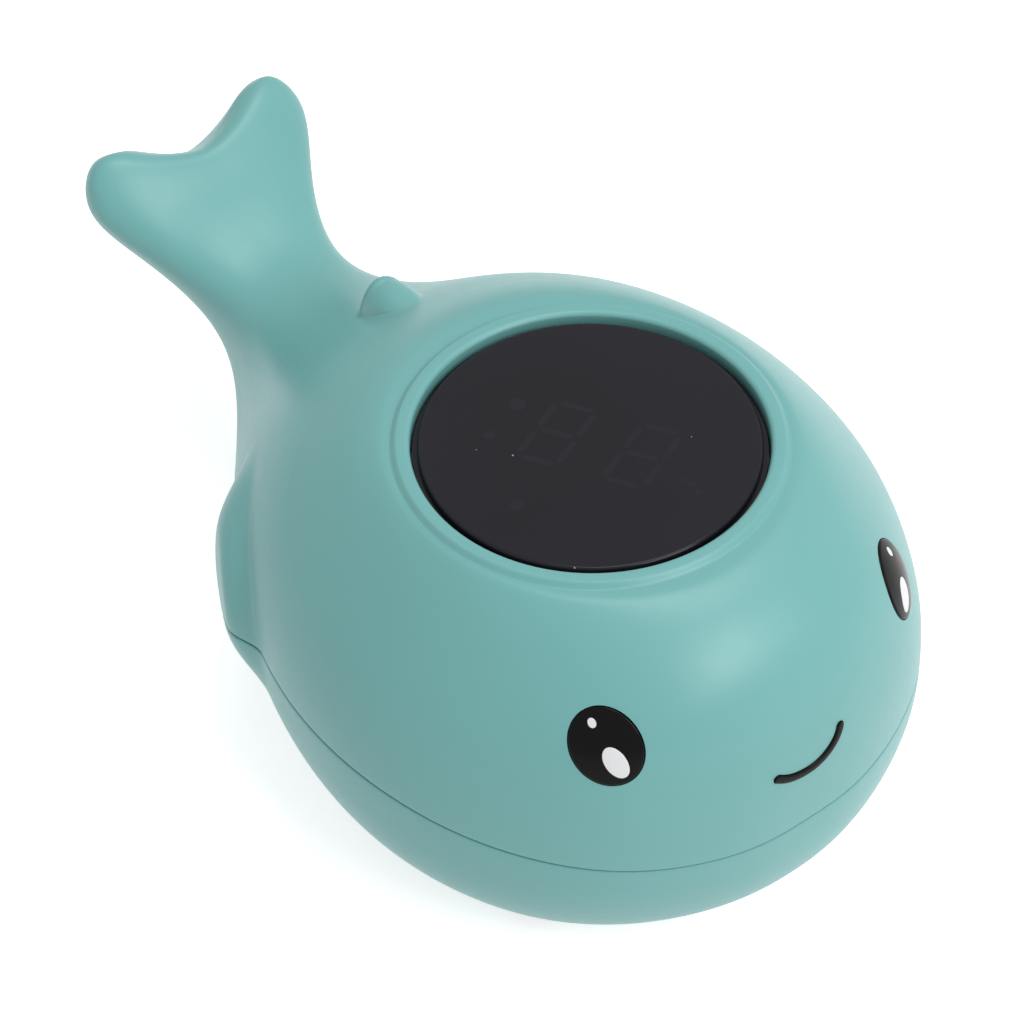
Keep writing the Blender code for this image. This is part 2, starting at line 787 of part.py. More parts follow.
def eye_inlay(side, label, material, glint_material):
    """Domed black oval with two white oval pads laid on its dome."""
    frame, level, up, normal = eye_frame(side)
    crown = EYE_PROUD + EYE_DOME
    profile = [(0.0, crown), (0.5, EYE_PROUD + 0.75 * EYE_DOME), (0.85, EYE_PROUD + 0.25 * EYE_DOME),
               (0.97, EYE_PROUD - 0.15), (1.0, EYE_PROUD - 0.45), (1.0, FIT - EYE_DEPTH),
               (0.0, FIT - EYE_DEPTH)]
    oval("eye_" + label, frame, EYE_LONG_RADIUS, EYE_SHORT_RADIUS, profile, material)
    for size, long_radius, short_radius, along, rise in (
            ("large", LARGE_GLINT_LONG_RADIUS, LARGE_GLINT_SHORT_RADIUS,
             LARGE_GLINT_ALONG, LARGE_GLINT_UP),
            ("small", SMALL_GLINT_LONG_RADIUS, SMALL_GLINT_SHORT_RADIUS,
             SMALL_GLINT_ALONG, SMALL_GLINT_UP)):
        lift = crown + 0.05
        centre = frame.translation + (along * level + rise * up + lift * normal) * MM
        seat = frame.copy()
        seat.translation = centre
        pad = [(0.0, GLINT_THICKNESS), (0.7, 0.85 * GLINT_THICKNESS), (1.0, 0.4 * GLINT_THICKNESS),
               (1.0, 0.0), (0.0, 0.0)]
        oval("eye_%s_glint_%s" % (label, size), seat, long_radius, short_radius, pad,
             glint_material, steps=24)


def mouth_path(count):
    """Smile on the skin: a parabola across the face, rolled about the nose."""
    roll = math.radians(MOUTH_ROLL)
    points = []
    for share in np.linspace(-1.0, 1.0, count):
        across = share * MOUTH_HALF_WIDTH
        rise = MOUTH_RISE * share * share - 0.5 * MOUTH_RISE
        x = across * math.cos(roll) - rise * math.sin(roll)
        z = MOUTH_Z + 0.5 * MOUTH_RISE + across * math.sin(roll) + rise * math.cos(roll)
        point, normal = surface_point(x, z)
        points.append(point - MOUTH_SINK * normal)
    return points


def mouth_groove():
    path = mouth_path(13)
    first = path[0] + (path[0] - path[1]).normalized() * FIT
    last = path[-1] + (path[-1] - path[-2]).normalized() * FIT
    groove = curve_object("mouth_groove_path", [first] + path[1:-1] + [last],
                          MOUTH_RADIUS + FIT, 2, False, None)
    bpy.context.view_layer.update()
    return as_mesh(groove, "mouth_groove")


def build_shells(material):
    """Both halves from one hollow hull, parted at the seam, with their recesses and holes."""
    hull = outer_form()
    cut(hull, cylinder("plateau_cut", PLATEAU_RADIUS - 0.1, RIM_TOP_Z - RIM_HEIGHT,
                       RIM_TOP_Z + WELL_DEPTH, segments=RIM_STEPS))
    fin = fin_solid()
    join(hull, fin)
    cut(hull, inner_core())
    cut(hull, cylinder("window_hole", RIM_OPENING_RADIUS + 0.6, RIM_TOP_Z - 1.6 * WELL_DEPTH,
                       RIM_TOP_Z + 1.2 * WELL_DEPTH, segments=RIM_STEPS))
    join(hull, rim_solid())
    bpy.context.view_layer.update()
    mesh = baked_mesh(hull, "hull")
    upper = place("upper_shell", mesh, material)
    lower = place("lower_shell", mesh.copy(), material)
    dress_upper(upper)
    dress_lower(lower)
    groove = curve_object("seal_groove_path", seam_path(0.5 * WALL), SEAL_CORD_RADIUS + FIT, 1,
                          True, None)
    bpy.context.view_layer.update()
    groove = as_mesh(groove, "seal_groove")
    cut(upper, groove)
    cut(lower, groove)
    smooth(upper)
    smooth(lower)


def fin_solid():
    mesh = bpy.data.meshes.new("fin_solid")
    bm = bmesh.new()
    bmesh.ops.create_uvsphere(bm, u_segments=24, v_segments=14, radius=0.5)
    bm.to_mesh(mesh)
    bm.free()
    mesh.transform(Matrix.Diagonal((FIN_WIDTH * MM, FIN_LENGTH * MM, FIN_HEIGHT * MM, 1.0)))
    fin = place("fin_solid", mesh)
    fin.rotation_euler.x = math.radians(FIN_LEAN)
    fin.location = (FIN_X * MM, FIN_Y * MM, FIN_Z * MM)
    return fin


def dress_upper(upper):
    keep(upper, parting_region("above_seam", 1))
    around_well = WELL_WALL_THICKNESS + FIT
    cut(upper, plan_box("battery_clearance", well_half_width() + around_well,
                        WELL_FRONT_Y - around_well, well_rear_y() + around_well, -1,
                        well_ceiling() + around_well))
    ledge_low = ledge_top() - LEDGE_THICKNESS
    for number, (x, y) in enumerate(pcb_screw_places(), 1):
        join(upper, cylinder("pcb_boss_%d" % number, PCB_BOSS_RADIUS, pcb_top() + FIT,
                             ledge_low + 0.5 * LEDGE_THICKNESS, x, y, segments=20))
        cut(upper, cylinder("pcb_pilot_%d" % number, PCB_SCREW_SHANK_RADIUS + FIT,
                            pcb_top() - 1, ledge_low - 0.4, x, y, segments=16))
    for label, x, y in shell_screw_places():
        cut(upper, cylinder("pilot_" + label, SHELL_SCREW_SHANK_RADIUS + FIT, 5.0,
                            SHELL_SCREW_SEAT_Z + SHELL_SCREW_LENGTH + 1.0, x, y, segments=20))
    cut(upper, eye_cutter(-1, "right"), eye_cutter(1, "left"), mouth_groove())


def dress_lower(lower):
    keep(lower, parting_region("below_seam", -1))
    cut(lower, flat_shape("door_recess", [door_outline(FIT)], -3, door_ledge()))
    cut(lower, plan_box("battery_pocket", well_half_width(), WELL_FRONT_Y, well_rear_y(), -2,
                        well_ceiling()))
    for x in (-0.5 * CELL_SPACING, 0.5 * CELL_SPACING):
        cut(lower, box("tab_slot_%s" % ("left" if x > 0 else "right"),
                       (TAB_WIDTH + 2 * FIT, CONTACT_THICKNESS + 2 * FIT, 8.0),
                       (x, front_contact_y(), well_ceiling() + 1.0)))
    cut(lower, cylinder("door_pilot", DOOR_SCREW_SHANK_RADIUS + FIT, -1,
                        DOOR_SCREW_LENGTH + 1.0, 0, door_screw_y(), segments=20))
    for label, x, y in shell_screw_places():
        cut(lower, cylinder("head_well_" + label, SHELL_SCREW_HEAD_RADIUS + FIT, -2,
                            SHELL_SCREW_SEAT_Z, x, y, segments=24))
        cut(lower, cylinder("shank_hole_" + label, SHELL_SCREW_SHANK_RADIUS + FIT, -1, RIM_TOP_Z, x, y,
                            segments=20))
    cut(lower, cylinder("probe_hole", PROBE_RADIUS + FIT, -5, 8, PROBE_X, PROBE_Y, segments=28))
    for label, y in pin_places():
        cut(lower, cylinder("pin_head_well_" + label, PIN_HEAD_RADIUS + FIT, -5,
                            PIN_HEAD_HEIGHT + 2 * FIT, PIN_X, y, segments=20))
        cut(lower, cylinder("pin_hole_" + label, PIN_RADIUS + FIT, -5, 8, PIN_X, y, segments=16))


def front_contact_y():
    return WELL_FRONT_Y + FIT + 0.5 * CONTACT_THICKNESS


def rear_contact_y():
    return well_rear_y() - FIT - 0.5 * CONTACT_THICKNESS


def build_window(lens_material, gasket_material):
    top = RIM_TOP_Z - LENS_RECESS
    step = top - LENS_FACE_THICKNESS
    bottom = lens_bottom()
    smooth(turned("display_lens", [
        (0.0, top), (LENS_RADIUS - 0.35, top), (LENS_RADIUS, top - 0.35), (LENS_RADIUS, step),
        (LENS_FLANGE_RADIUS, step), (LENS_FLANGE_RADIUS, bottom), (0.0, bottom)],
        lens_material, steps=56))
    high = bottom - FIT
    turned("lens_gasket", [
        (GASKET_INNER_RADIUS, high), (LENS_FLANGE_RADIUS, high),
        (LENS_FLANGE_RADIUS, high - GASKET_THICKNESS),
        (GASKET_INNER_RADIUS, high - GASKET_THICKNESS)], gasket_material, steps=48)


def turned_place(along, across):
    """Place on the display from distances along and across its row of figures."""
    turn = math.radians(DIGIT_TURN)
    row = (math.sin(turn), -math.cos(turn))
    column = (math.cos(turn), math.sin(turn))
    return (along * row[0] + across * column[0], along * row[1] + across * column[1])


def build_display(module_material, segment_material, hot_material, cool_material):
    x, y = turned_place(MODULE_SHIFT, 0.0)
    low = pcb_top() + FIT
    module = box("led_module", (MODULE_LENGTH, MODULE_WIDTH, MODULE_HEIGHT),
                 (x, y, low + 0.5 * MODULE_HEIGHT), module_material, bevel=0.3)
    module.rotation_euler.z = math.radians(DIGIT_TURN - 90.0)
    digit_segments(segment_material)
    for name, side, material in (("status_led_hot", 1, hot_material),
                                 ("status_led_cool", -1, cool_material)):
        x, y = turned_place(-LED_OFFSET, side * LED_SPREAD)
        flat = LED_HEIGHT - LED_RADIUS
        profile = [(0.0, LED_HEIGHT), (0.6 * LED_RADIUS, flat + 0.8 * LED_RADIUS),
                   (0.9 * LED_RADIUS, flat + 0.42 * LED_RADIUS), (LED_RADIUS, flat),
                   (LED_RADIUS, 0.0), (0.0, 0.0)]
        led = turned(name, profile, material, steps=16)
        led.location = (x * MM, y * MM, low * MM)


def digit_segments(material):
    """Film over the module's face with the bars of both figures raised on it."""
    mesh = bpy.data.meshes.new("digit_segments")
    bm = bmesh.new()
    half = 0.5 * SEGMENT_LENGTH + 0.5
    slant = math.tan(math.radians(SEGMENT_SLANT))
    bars = [(0.0, 2 * half, True), (0.0, 0.0, True), (0.0, -2 * half, True), (-half, half, False),
            (half, half, False), (-half, -half, False), (half, -half, False)]
    low = module_top() + FIT
    for digit in (-0.5, 0.5):
        for along, across, level in bars:
            length = SEGMENT_LENGTH if level else SEGMENT_LENGTH - 0.1
            reach, width = 0.5 * length, 0.5 * SEGMENT_WIDTH
            hexagon = [(-reach, 0.0), (-reach + width, -width), (reach - width, -width),
                       (reach, 0.0), (reach - width, width), (-reach + width, width)]
            if not level:
                hexagon = [(b, a) for a, b in hexagon]
            ring = []
            for a, b in hexagon:
                u = a + along + slant * (b + across)
                spot = turned_place(MODULE_SHIFT + digit * DIGIT_PITCH + u, b + across)
                ring.append(bm.verts.new((spot[0] * MM, spot[1] * MM, (low + 0.05) * MM)))
            face = bm.faces.new(ring)
            moved = bmesh.ops.extrude_face_region(bm, geom=[face])["geom"]
            bmesh.ops.translate(bm, vec=(0, 0, (SEGMENT_HEIGHT - 0.05) * MM), verts=[
                item for item in moved if isinstance(item, bmesh.types.BMVert)])
    bmesh.ops.recalc_face_normals(bm, faces=bm.faces)
    bm.to_mesh(mesh)
    bm.free()
    raised = place("digit_bars", mesh)
    x, y = turned_place(MODULE_SHIFT, 0.0)
    film = box("digit_segments", (MODULE_LENGTH - 1.0, MODULE_WIDTH - 1.0, FILM_THICKNESS),
               (x, y, low + 0.5 * FILM_THICKNESS), material)
    film.rotation_euler.z = math.radians(DIGIT_TURN - 90.0)
    join(film, raised)


def build_board(board_material, chip_material, steel):
    top = pcb_top()
    bottom = top - PCB_THICKNESS
    board = cylinder("main_pcb", PCB_RADIUS, bottom, top, material=board_material, segments=56)
    for number, (x, y) in enumerate(pcb_screw_places(), 1):
        cut(board, cylinder("pcb_hole_%d" % number, PCB_SCREW_SHANK_RADIUS + FIT, bottom - 1,
                            top + 1, x, y, segments=16))
        head_top = bottom - FIT
        screw = turned("pcb_screw_%d" % number, [
            (0.0, PCB_SCREW_LENGTH), (PCB_SCREW_SHANK_RADIUS, PCB_SCREW_LENGTH),
            (PCB_SCREW_SHANK_RADIUS, 0.0), (PCB_SCREW_HEAD_RADIUS, 0.0),
            (0.8 * PCB_SCREW_HEAD_RADIUS, -PCB_SCREW_HEAD_HEIGHT), (0.0, -PCB_SCREW_HEAD_HEIGHT)],
            steel, steps=16)
        screw.location = (x * MM, y * MM, head_top * MM)
    under = bottom - FIT
    box("controller_chip", (CHIP_SIZE, CHIP_SIZE, CHIP_HEIGHT),
        (0.0, CHIP_Y, under - 0.5 * CHIP_HEIGHT), chip_material, bevel=0.15)
    cylinder("filter_capacitor", CAPACITOR_RADIUS, under - CAPACITOR_HEIGHT, under, CAPACITOR_X,
             CAPACITOR_Y, chip_material, segments=20)
    crystal = cylinder("clock_crystal", CRYSTAL_RADIUS, 0.0, CRYSTAL_LENGTH, CRYSTAL_X, CRYSTAL_Y,
                       steel, segments=14)
    crystal.rotation_euler.x = math.radians(90.0)
    crystal.location.z = (under - CRYSTAL_RADIUS) * MM


def build_face(black, white):
    eye_inlay(-1, "right", black, white)
    eye_inlay(1, "left", black, white)
    strip = curve_object("mouth_path", mouth_path(13), MOUTH_RADIUS, 2, False, None)
    bpy.context.view_layer.update()
    smooth(as_mesh(strip, "mouth_inlay", black))


def build_power(wrap, contact_metal, steel):
    """Two cells side by side, nose to tail, with their springs and contact plates."""
    length = CELL_LENGTH
    spring_from = WELL_FRONT_Y + 2 * FIT + CONTACT_THICKNESS
    for number, side, direction in ((1, 1, 1), (2, -1, -1)):
        x = 0.5 * side * CELL_SPACING
        middle = 0.5 * (WELL_FRONT_Y + well_rear_y())
        shift = 0.5 * direction * (SPRING_LENGTH + FIT - CELL_NUB_LENGTH)
        cell = turned("battery_%d" % number, [
            (0.0, 0.5 * length + CELL_NUB_LENGTH), (CELL_NUB_RADIUS, 0.5 * length + CELL_NUB_LENGTH),
            (CELL_NUB_RADIUS, 0.5 * length), (CELL_RADIUS - 0.3, 0.5 * length),
            (CELL_RADIUS, 0.5 * length - 0.3), (CELL_RADIUS, 0.3 - 0.5 * length),
            (CELL_RADIUS - 0.3, -0.5 * length), (0.0, -0.5 * length)], wrap, steps=32)
        cell.rotation_euler.x = math.radians(-90.0 * direction)
        cell.location = (x * MM, (middle + shift) * MM, cell_z() * MM)
        smooth(cell)
        start = spring_from if direction > 0 else well_rear_y() - (spring_from - WELL_FRONT_Y)
        spring("battery_spring_%d" % number, x, start, direction, steel)
    size = CONTACT_SIZE
    reach = CELL_SPACING + size
    box("contact_bridge", (reach, CONTACT_THICKNESS, size), (0, rear_contact_y(), cell_z()),
        contact_metal)
    for name, x in (("contact_negative", 0.5 * CELL_SPACING),
                    ("contact_positive", -0.5 * CELL_SPACING)):
        plate = box(name, (size, CONTACT_THICKNESS, size), (x, front_contact_y(), cell_z()),
                    contact_metal)
        high = well_ceiling() + WELL_WALL_THICKNESS + TAB_RISE
        low = cell_z() + 0.25 * size
        join(plate, box(name + "_tab", (TAB_WIDTH, 0.999 * CONTACT_THICKNESS, high - low),
                        (x, front_contact_y(), 0.5 * (low + high))))


def spring(name, x, start_y, direction, material):
    """Conical coil between a contact plate and a cell's flat end."""
    count = SPRING_TURNS * 12 + 1
    points = []
    for k in range(count):
        share = k / (count - 1)
        radius = SPRING_RADIUS + share * (SPRING_TIP_RADIUS - SPRING_RADIUS)
        angle = 2 * math.pi * SPRING_TURNS * share
        advance = SPRING_WIRE_RADIUS + share * (SPRING_LENGTH - 2 * SPRING_WIRE_RADIUS)
        points.append((x + radius * math.cos(angle), start_y + direction * advance,
                       cell_z() + radius * math.sin(angle)))
    wire(name, points, SPRING_WIRE_RADIUS, material)


def build_door(door_material, seal_material, steel):
    door = flat_shape("battery_door", [door_outline(0.0)], -4, door_inner(), door_material)
    keep(door, door_underside())
    y = door_screw_y()
    floor = door_inner() - 0.7
    cut(door, cylinder("door_head_well", DOOR_SCREW_HEAD_RADIUS + FIT, -6, floor, 0, y,
                       segments=24))
    cut(door, cylinder("door_shank_hole", DOOR_SCREW_SHANK_RADIUS + FIT, -6,
                       door_ledge() + DOOR_THICKNESS, 0, y,
                       segments=20))
    head_top = floor - FIT
    screw = turned("door_screw", [
        (0.0, DOOR_SCREW_LENGTH - head_top), (DOOR_SCREW_SHANK_RADIUS, DOOR_SCREW_LENGTH - head_top),
        (DOOR_SCREW_SHANK_RADIUS, 0.0), (DOOR_SCREW_HEAD_RADIUS, 0.0),
        (DOOR_SCREW_HEAD_RADIUS - 0.3, -DOOR_SCREW_HEAD_HEIGHT), (0.0, -DOOR_SCREW_HEAD_HEIGHT)],
        steel, steps=24)
    screw.location = (0.0, y * MM, head_top * MM)
    ring = [seal_outline(FIT + SEAL_WIDTH), seal_outline(FIT)]
    low = door_inner() + FIT
    flat_shape("door_seal", ring, low, low + SEAL_THICKNESS, seal_material)


def seal_outline(grow):
    """Edge of the seal, the battery well's opening grown by a distance with its corners cut."""
    half_width = well_half_width() + grow
    front = WELL_FRONT_Y - grow
    rear = well_rear_y() + grow
    corner = 1.4 * grow
    right = [(half_width - corner, front), (half_width, front + corner),
             (half_width, rear - corner), (half_width - corner, rear)]
    return right + [(-x, y) for x, y in reversed(right)]


def door_underside():
    """The belly's own form, raised by the door's recess, to shape the door's outer face."""
    form = outer_form()
    bpy.context.view_layer.update()
    mesh = baked_mesh(form, "door_underside")
    source = form.data
    bpy.data.objects.remove(form, do_unlink=True)
    bpy.data.meshes.remove(source)
    raised = place("door_underside", mesh)
    raised.location.z = DOOR_RECESS * MM
    return raised


def build_shell_screws(steel):
    for label, x, y in shell_screw_places():
        screw = turned("shell_screw_" + label, [
            (0.0, SHELL_SCREW_LENGTH), (0.4 * SHELL_SCREW_SHANK_RADIUS, SHELL_SCREW_LENGTH),
            (SHELL_SCREW_SHANK_RADIUS, SHELL_SCREW_LENGTH - SHELL_SCREW_TIP),
            (SHELL_SCREW_SHANK_RADIUS, 0.0),
            (SHELL_SCREW_HEAD_RADIUS, 0.0),
            (0.9 * SHELL_SCREW_HEAD_RADIUS, -0.7 * SHELL_SCREW_HEAD_HEIGHT),
            (0.6 * SHELL_SCREW_HEAD_RADIUS, -SHELL_SCREW_HEAD_HEIGHT),
            (0.0, -SHELL_SCREW_HEAD_HEIGHT)], steel, steps=20)
        screw.location = (x * MM, y * MM, (SHELL_SCREW_SEAT_Z - FIT) * MM)


def build_seal(material):
    cord = curve_object("seal_path", seam_path(0.5 * WALL), SEAL_CORD_RADIUS, 1, True, None)
    bpy.context.view_layer.update()
    smooth(as_mesh(cord, "shell_seal", material), 60.0)


def pin_places():
    return (("front", PIN_Y - 0.5 * PIN_PITCH), ("rear", PIN_Y + 0.5 * PIN_PITCH))


def board_underside():
    return pcb_top() - PCB_THICKNESS - FIT


def build_probe(steel, bead_material, lead_material):
    """Steel cap through the belly with the sensor bead inside it and the bead's two leads."""
    low = PROBE_RECESS
    floor = PROBE_FLANGE_Z
    inner = PROBE_RADIUS - PROBE_WALL
    rim = floor + PROBE_FLANGE_THICKNESS
    cap = turned("probe_cap", [
        (0.0, rim), (PROBE_FLANGE_RADIUS, rim), (PROBE_FLANGE_RADIUS, floor),
        (PROBE_RADIUS, floor), (PROBE_RADIUS, low + 0.5), (PROBE_RADIUS - 0.5, low), (0.0, low)],
        steel, steps=28)
    cut(cap, cylinder("probe_bore", inner, low + PROBE_WALL, rim + 2, PROBE_X, PROBE_Y,
                      segments=28))
    cap.location = (PROBE_X * MM, PROBE_Y * MM, 0.0)
    smooth(cap)
    bead_z = low + PROBE_WALL + FIT + THERMISTOR_RADIUS
    mesh = bpy.data.meshes.new("thermistor")
    bm = bmesh.new()
    bmesh.ops.create_uvsphere(bm, u_segments=14, v_segments=9, radius=THERMISTOR_RADIUS * MM)
    bm.to_mesh(mesh)
    bm.free()
    bead = smooth(place("thermistor", mesh, bead_material))
    bead.location = (PROBE_X * MM, PROBE_Y * MM, bead_z * MM)
    start = bead_z + THERMISTOR_RADIUS + FIT
    route = ((0.0, 1.0, 0.0), (0.0, 1.0, 0.13), (1.5, 1.3, 0.29), (1.0, 1.6, 0.49),
             (-2.0, 1.6, 0.68), (-5.0, 1.6, 0.81), (-6.0, 1.6, 1.0))
    for number, spread in ((1, -LEAD_SPREAD), (2, LEAD_SPREAD)):
        wire("probe_lead_%d" % number, [
            (PROBE_X + x, PROBE_Y + y * spread, start + rise * (board_underside() - start))
            for x, y, rise in route], WIRE_RADIUS, lead_material)


def build_water_contacts(steel):
    """Two pins through the belly that close a circuit when the water reaches them."""
    for label, y in pin_places():
        head_low = FIT
        seat = head_low + PIN_HEAD_HEIGHT
        pin = turned("water_contact_" + label, [
            (0.0, seat + PIN_LENGTH), (PIN_RADIUS, seat + PIN_LENGTH), (PIN_RADIUS, seat),
            (PIN_HEAD_RADIUS, seat), (PIN_HEAD_RADIUS, head_low + 0.2),
            (PIN_HEAD_RADIUS - 0.3, head_low), (0.0, head_low)], steel, steps=18)
        pin.location = (PIN_X * MM, y * MM, 0.0)


def build_battery_leads(red, black):
    """Leads from the contact tabs up to the board."""
    start = well_ceiling() + WELL_WALL_THICKNESS + TAB_RISE + FIT
    route = ((0.0, 0.0, 0.0), (0.0, 0.0, 0.2), (0.6, 0.8, 0.39), (0.9, 3.6, 0.66),
             (0.5, 6.2, 0.86), (0.0, 7.0, 1.0))
    for name, side, material in (("battery_lead_red", -1, red), ("battery_lead_black", 1, black)):
        wire(name, [(side * (0.5 * CELL_SPACING + x), front_contact_y() + y,
                     start + rise * (board_underside() - start)) for x, y, rise in route],
             WIRE_RADIUS, material)


def centre_length():
    """Put the middle of the outer skin's length at Y = 0."""
    grid = with_flippers(body_grid(BODY_RINGS, BODY_STEPS))
    FRAME.location.y = -0.5 * (grid[..., 1].min() + grid[..., 1].max()) * MM


def main():
    clear_scene()
    make_collections()
    teal = teal_plastic()
    steel = zinc_steel()
    black = gloss_black()
    epoxy = chip_black()
    rubber = silicone()
    insulation = black_lead()
    build_shells(teal)
    build_window(smoked_acrylic(), black_foam())
    build_display(epoxy, segment_grey(), red_lens(), blue_lens())
    build_board(board_green(), epoxy, steel)
    build_face(black, white_plastic())
    build_power(cell_wrap(), nickel_contact(), steel)
    build_door(teal, rubber, steel)
    build_shell_screws(steel)
    build_seal(rubber)
    build_probe(steel, epoxy, insulation)
    build_water_contacts(steel)
    build_battery_leads(red_lead(), insulation)
    centre_length()


main()
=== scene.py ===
"""Look of the whale-shaped bath thermometer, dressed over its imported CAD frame."""
import logging
import math
from collections.abc import Callable
from dataclasses import dataclass, field
from enum import Enum

import bmesh
import bpy
import numpy as np
from mathutils import Matrix, Vector


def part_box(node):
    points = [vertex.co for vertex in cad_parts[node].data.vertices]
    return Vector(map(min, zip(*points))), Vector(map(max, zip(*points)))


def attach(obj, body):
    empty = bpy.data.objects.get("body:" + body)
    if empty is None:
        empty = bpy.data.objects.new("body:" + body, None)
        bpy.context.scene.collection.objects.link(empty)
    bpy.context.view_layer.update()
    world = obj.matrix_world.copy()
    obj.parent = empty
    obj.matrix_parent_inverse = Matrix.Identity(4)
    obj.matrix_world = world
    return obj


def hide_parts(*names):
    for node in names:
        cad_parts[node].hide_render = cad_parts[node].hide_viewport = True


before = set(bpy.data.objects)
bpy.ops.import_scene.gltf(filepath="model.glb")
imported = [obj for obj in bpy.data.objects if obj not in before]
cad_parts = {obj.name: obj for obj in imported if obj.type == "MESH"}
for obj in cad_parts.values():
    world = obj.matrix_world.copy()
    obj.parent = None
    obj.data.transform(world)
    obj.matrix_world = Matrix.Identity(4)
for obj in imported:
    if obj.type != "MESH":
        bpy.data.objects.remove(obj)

LOG = logging.getLogger("whale")
MM = 0.001
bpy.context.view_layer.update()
WINDOW_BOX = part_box("display_lens")
DISPLAY_Y = 0.5 * (WINDOW_BOX[0][1] + WINDOW_BOX[1][1]) / MM
FRONT_AXES = np.array([[1.0, 0.0, 0.0], [0.0, 0.0, 1.0]])
TOP_AXES = np.array([[1.0, 0.0, 0.0], [0.0, 1.0, 0.0]])
TINY = 1e-9


class Side(Enum):
    """The whale's own right and left, as the sign of X."""

    RIGHT = -1
    LEFT = 1


# Meshes


def to_world(points: np.ndarray) -> np.ndarray:
    """Design millimetres (display axis at Y = 0) as metres in the frame.

    Args:
        points: Array of positions, last axis x, y, z.

    Returns:
        The same array in metres with the display's axis in its place.
    """
    return (points + np.array([0.0, DISPLAY_Y, 0.0])) * MM


def mesh_object(name: str, vertices: np.ndarray, faces: np.ndarray | list,
                merge: float = 0.0) -> bpy.types.Object:
    """Put vertices and faces into a new object at the origin, closed and facing outwards.

    Args:
        name: Name of the piece.
        vertices: Positions in design millimetres, shape (n, 3).
        faces: Rows of vertex numbers; quads, triangles or longer loops.
        merge: Distance in millimetres under which points become one.

    Returns:
        The new object, shaded smooth.
    """
    mesh = bpy.data.meshes.new(name)
    loops = faces.tolist() if isinstance(faces, np.ndarray) else faces
    mesh.from_pydata(to_world(vertices).tolist(), [], loops)
    bm = bmesh.new()
    bm.from_mesh(mesh)
    if merge > 0.0:
        bmesh.ops.remove_doubles(bm, verts=bm.verts, dist=merge * MM)
    bmesh.ops.recalc_face_normals(bm, faces=bm.faces)
    bm.to_mesh(mesh)
    bm.free()
    mesh.shade_smooth()
    obj = bpy.data.objects.new(name, mesh)
    bpy.context.scene.collection.objects.link(obj)
    return obj


def grid_faces(rows: int, columns: int, closed: bool, first: int = 0) -> np.ndarray:
    """Quads of a grid of rows and columns, numbered row by row.

    Args:
        rows: Number of rows of points.
        columns: Number of points in a row.
        closed: Whether the last column joins the first.
        first: Number of the grid's first point.

    Returns:
        Array of vertex numbers, shape (quads, 4).
    """
    spans = columns if closed else columns - 1
    row, column = np.meshgrid(np.arange(rows - 1), np.arange(spans), indexing="ij")
    after = (column + 1) % columns
    quads = [row * columns + column, row * columns + after,
             (row + 1) * columns + after, (row + 1) * columns + column]
    return first + np.stack(quads, -1).reshape(-1, 4)


def polar_object(name: str, rings: np.ndarray, merge: float = 0.0) -> bpy.types.Object:
    """Object from closed rings of points, shape (rings, around, 3).

    Args:
        name: Name of the piece.
        rings: Rings in design millimetres; a ring of equal points closes the end.
        merge: Distance in millimetres under which points become one.

    Returns:
        The new object.
    """
    faces = grid_faces(rings.shape[0], rings.shape[1], True)
    return mesh_object(name, rings.reshape(-1, 3), faces, merge)


def turns(count: int) -> np.ndarray:
    """Angles of one full turn in equal steps."""
    return np.linspace(0.0, 2 * math.pi, count, endpoint=False)


def turned_rings(profile: list[tuple[float, float]], around: int = 160,
                 centre: tuple[float, float] = (0.0, 0.0)) -> np.ndarray:
    """Rings of a turned form: each profile point (radius, height) carried round an upright axis.

    Args:
        profile: Radius and height in millimetres, in order along the surface.
        around: Number of points in a ring.
        centre: x and y of the axis.

    Returns:
        Array of rings, shape (profile points, around, 3).
    """
    radius, height = np.array(profile, float).T
    angle = turns(around)
    x = centre[0] + radius[:, None] * np.cos(angle)
    y = centre[1] + radius[:, None] * np.sin(angle)
    return np.stack([x, y, np.broadcast_to(height[:, None], x.shape)], -1)


def fillet(centre: tuple[float, float], start: float, end: float, radius: float,
           count: int) -> list[tuple[float, float]]:
    """Points of an arc about a centre, from one angle to another.

    Args:
        centre: Centre of the arc (radius, height).
        start: First angle in degrees.
        end: Last angle in degrees.
        radius: Radius of the arc.
        count: Number of points.

    Returns:
        List of (radius, height) points.
    """
    turn = np.radians(np.linspace(start, end, count))
    return [(centre[0] + radius * math.cos(a), centre[1] + radius * math.sin(a)) for a in turn]


def smoothstep(x: np.ndarray) -> np.ndarray:
    """Zero below 0, one above 1 and 3x^2 - 2x^3 between."""
    x = np.clip(x, 0.0, 1.0)
    return x * x * (3.0 - 2.0 * x)


def round_cutter(name: str, x: float, y: float, radius: float, low: float,
                 high: float) -> bpy.types.Object:
    """Upright round cutter."""
    profile = [(0.0, high), (radius, high), (radius, low), (0.0, low)]
    return polar_object(name, turned_rings(profile, 64, (x, y)), merge=0.001)


def cut_with(obj: bpy.types.Object, cutters: list[bpy.types.Object],
             sharp_degrees: float = 38.0) -> None:
    """Subtract closed cutters from a closed object and apply the result.

    Args:
        obj: Object that keeps its name and gets the cut mesh.
        cutters: Objects that are removed again.
        sharp_degrees: Angle over which an edge stays sharp.
    """
    for cutter in cutters:
        step = obj.modifiers.new(cutter.name, "BOOLEAN")
        step.operation = "DIFFERENCE"
        step.solver = "EXACT"
        step.object = cutter
    graph = bpy.context.evaluated_depsgraph_get()
    mesh = bpy.data.meshes.new_from_object(obj.evaluated_get(graph))
    obj.modifiers.clear()
    old = obj.data
    obj.data = mesh
    bpy.data.meshes.remove(old)
    for cutter in cutters:
        data = cutter.data
        bpy.data.objects.remove(cutter)
        bpy.data.meshes.remove(data)
    mesh.shade_smooth()
    mesh.set_sharp_from_angle(angle=math.radians(sharp_degrees))


# The body's surface


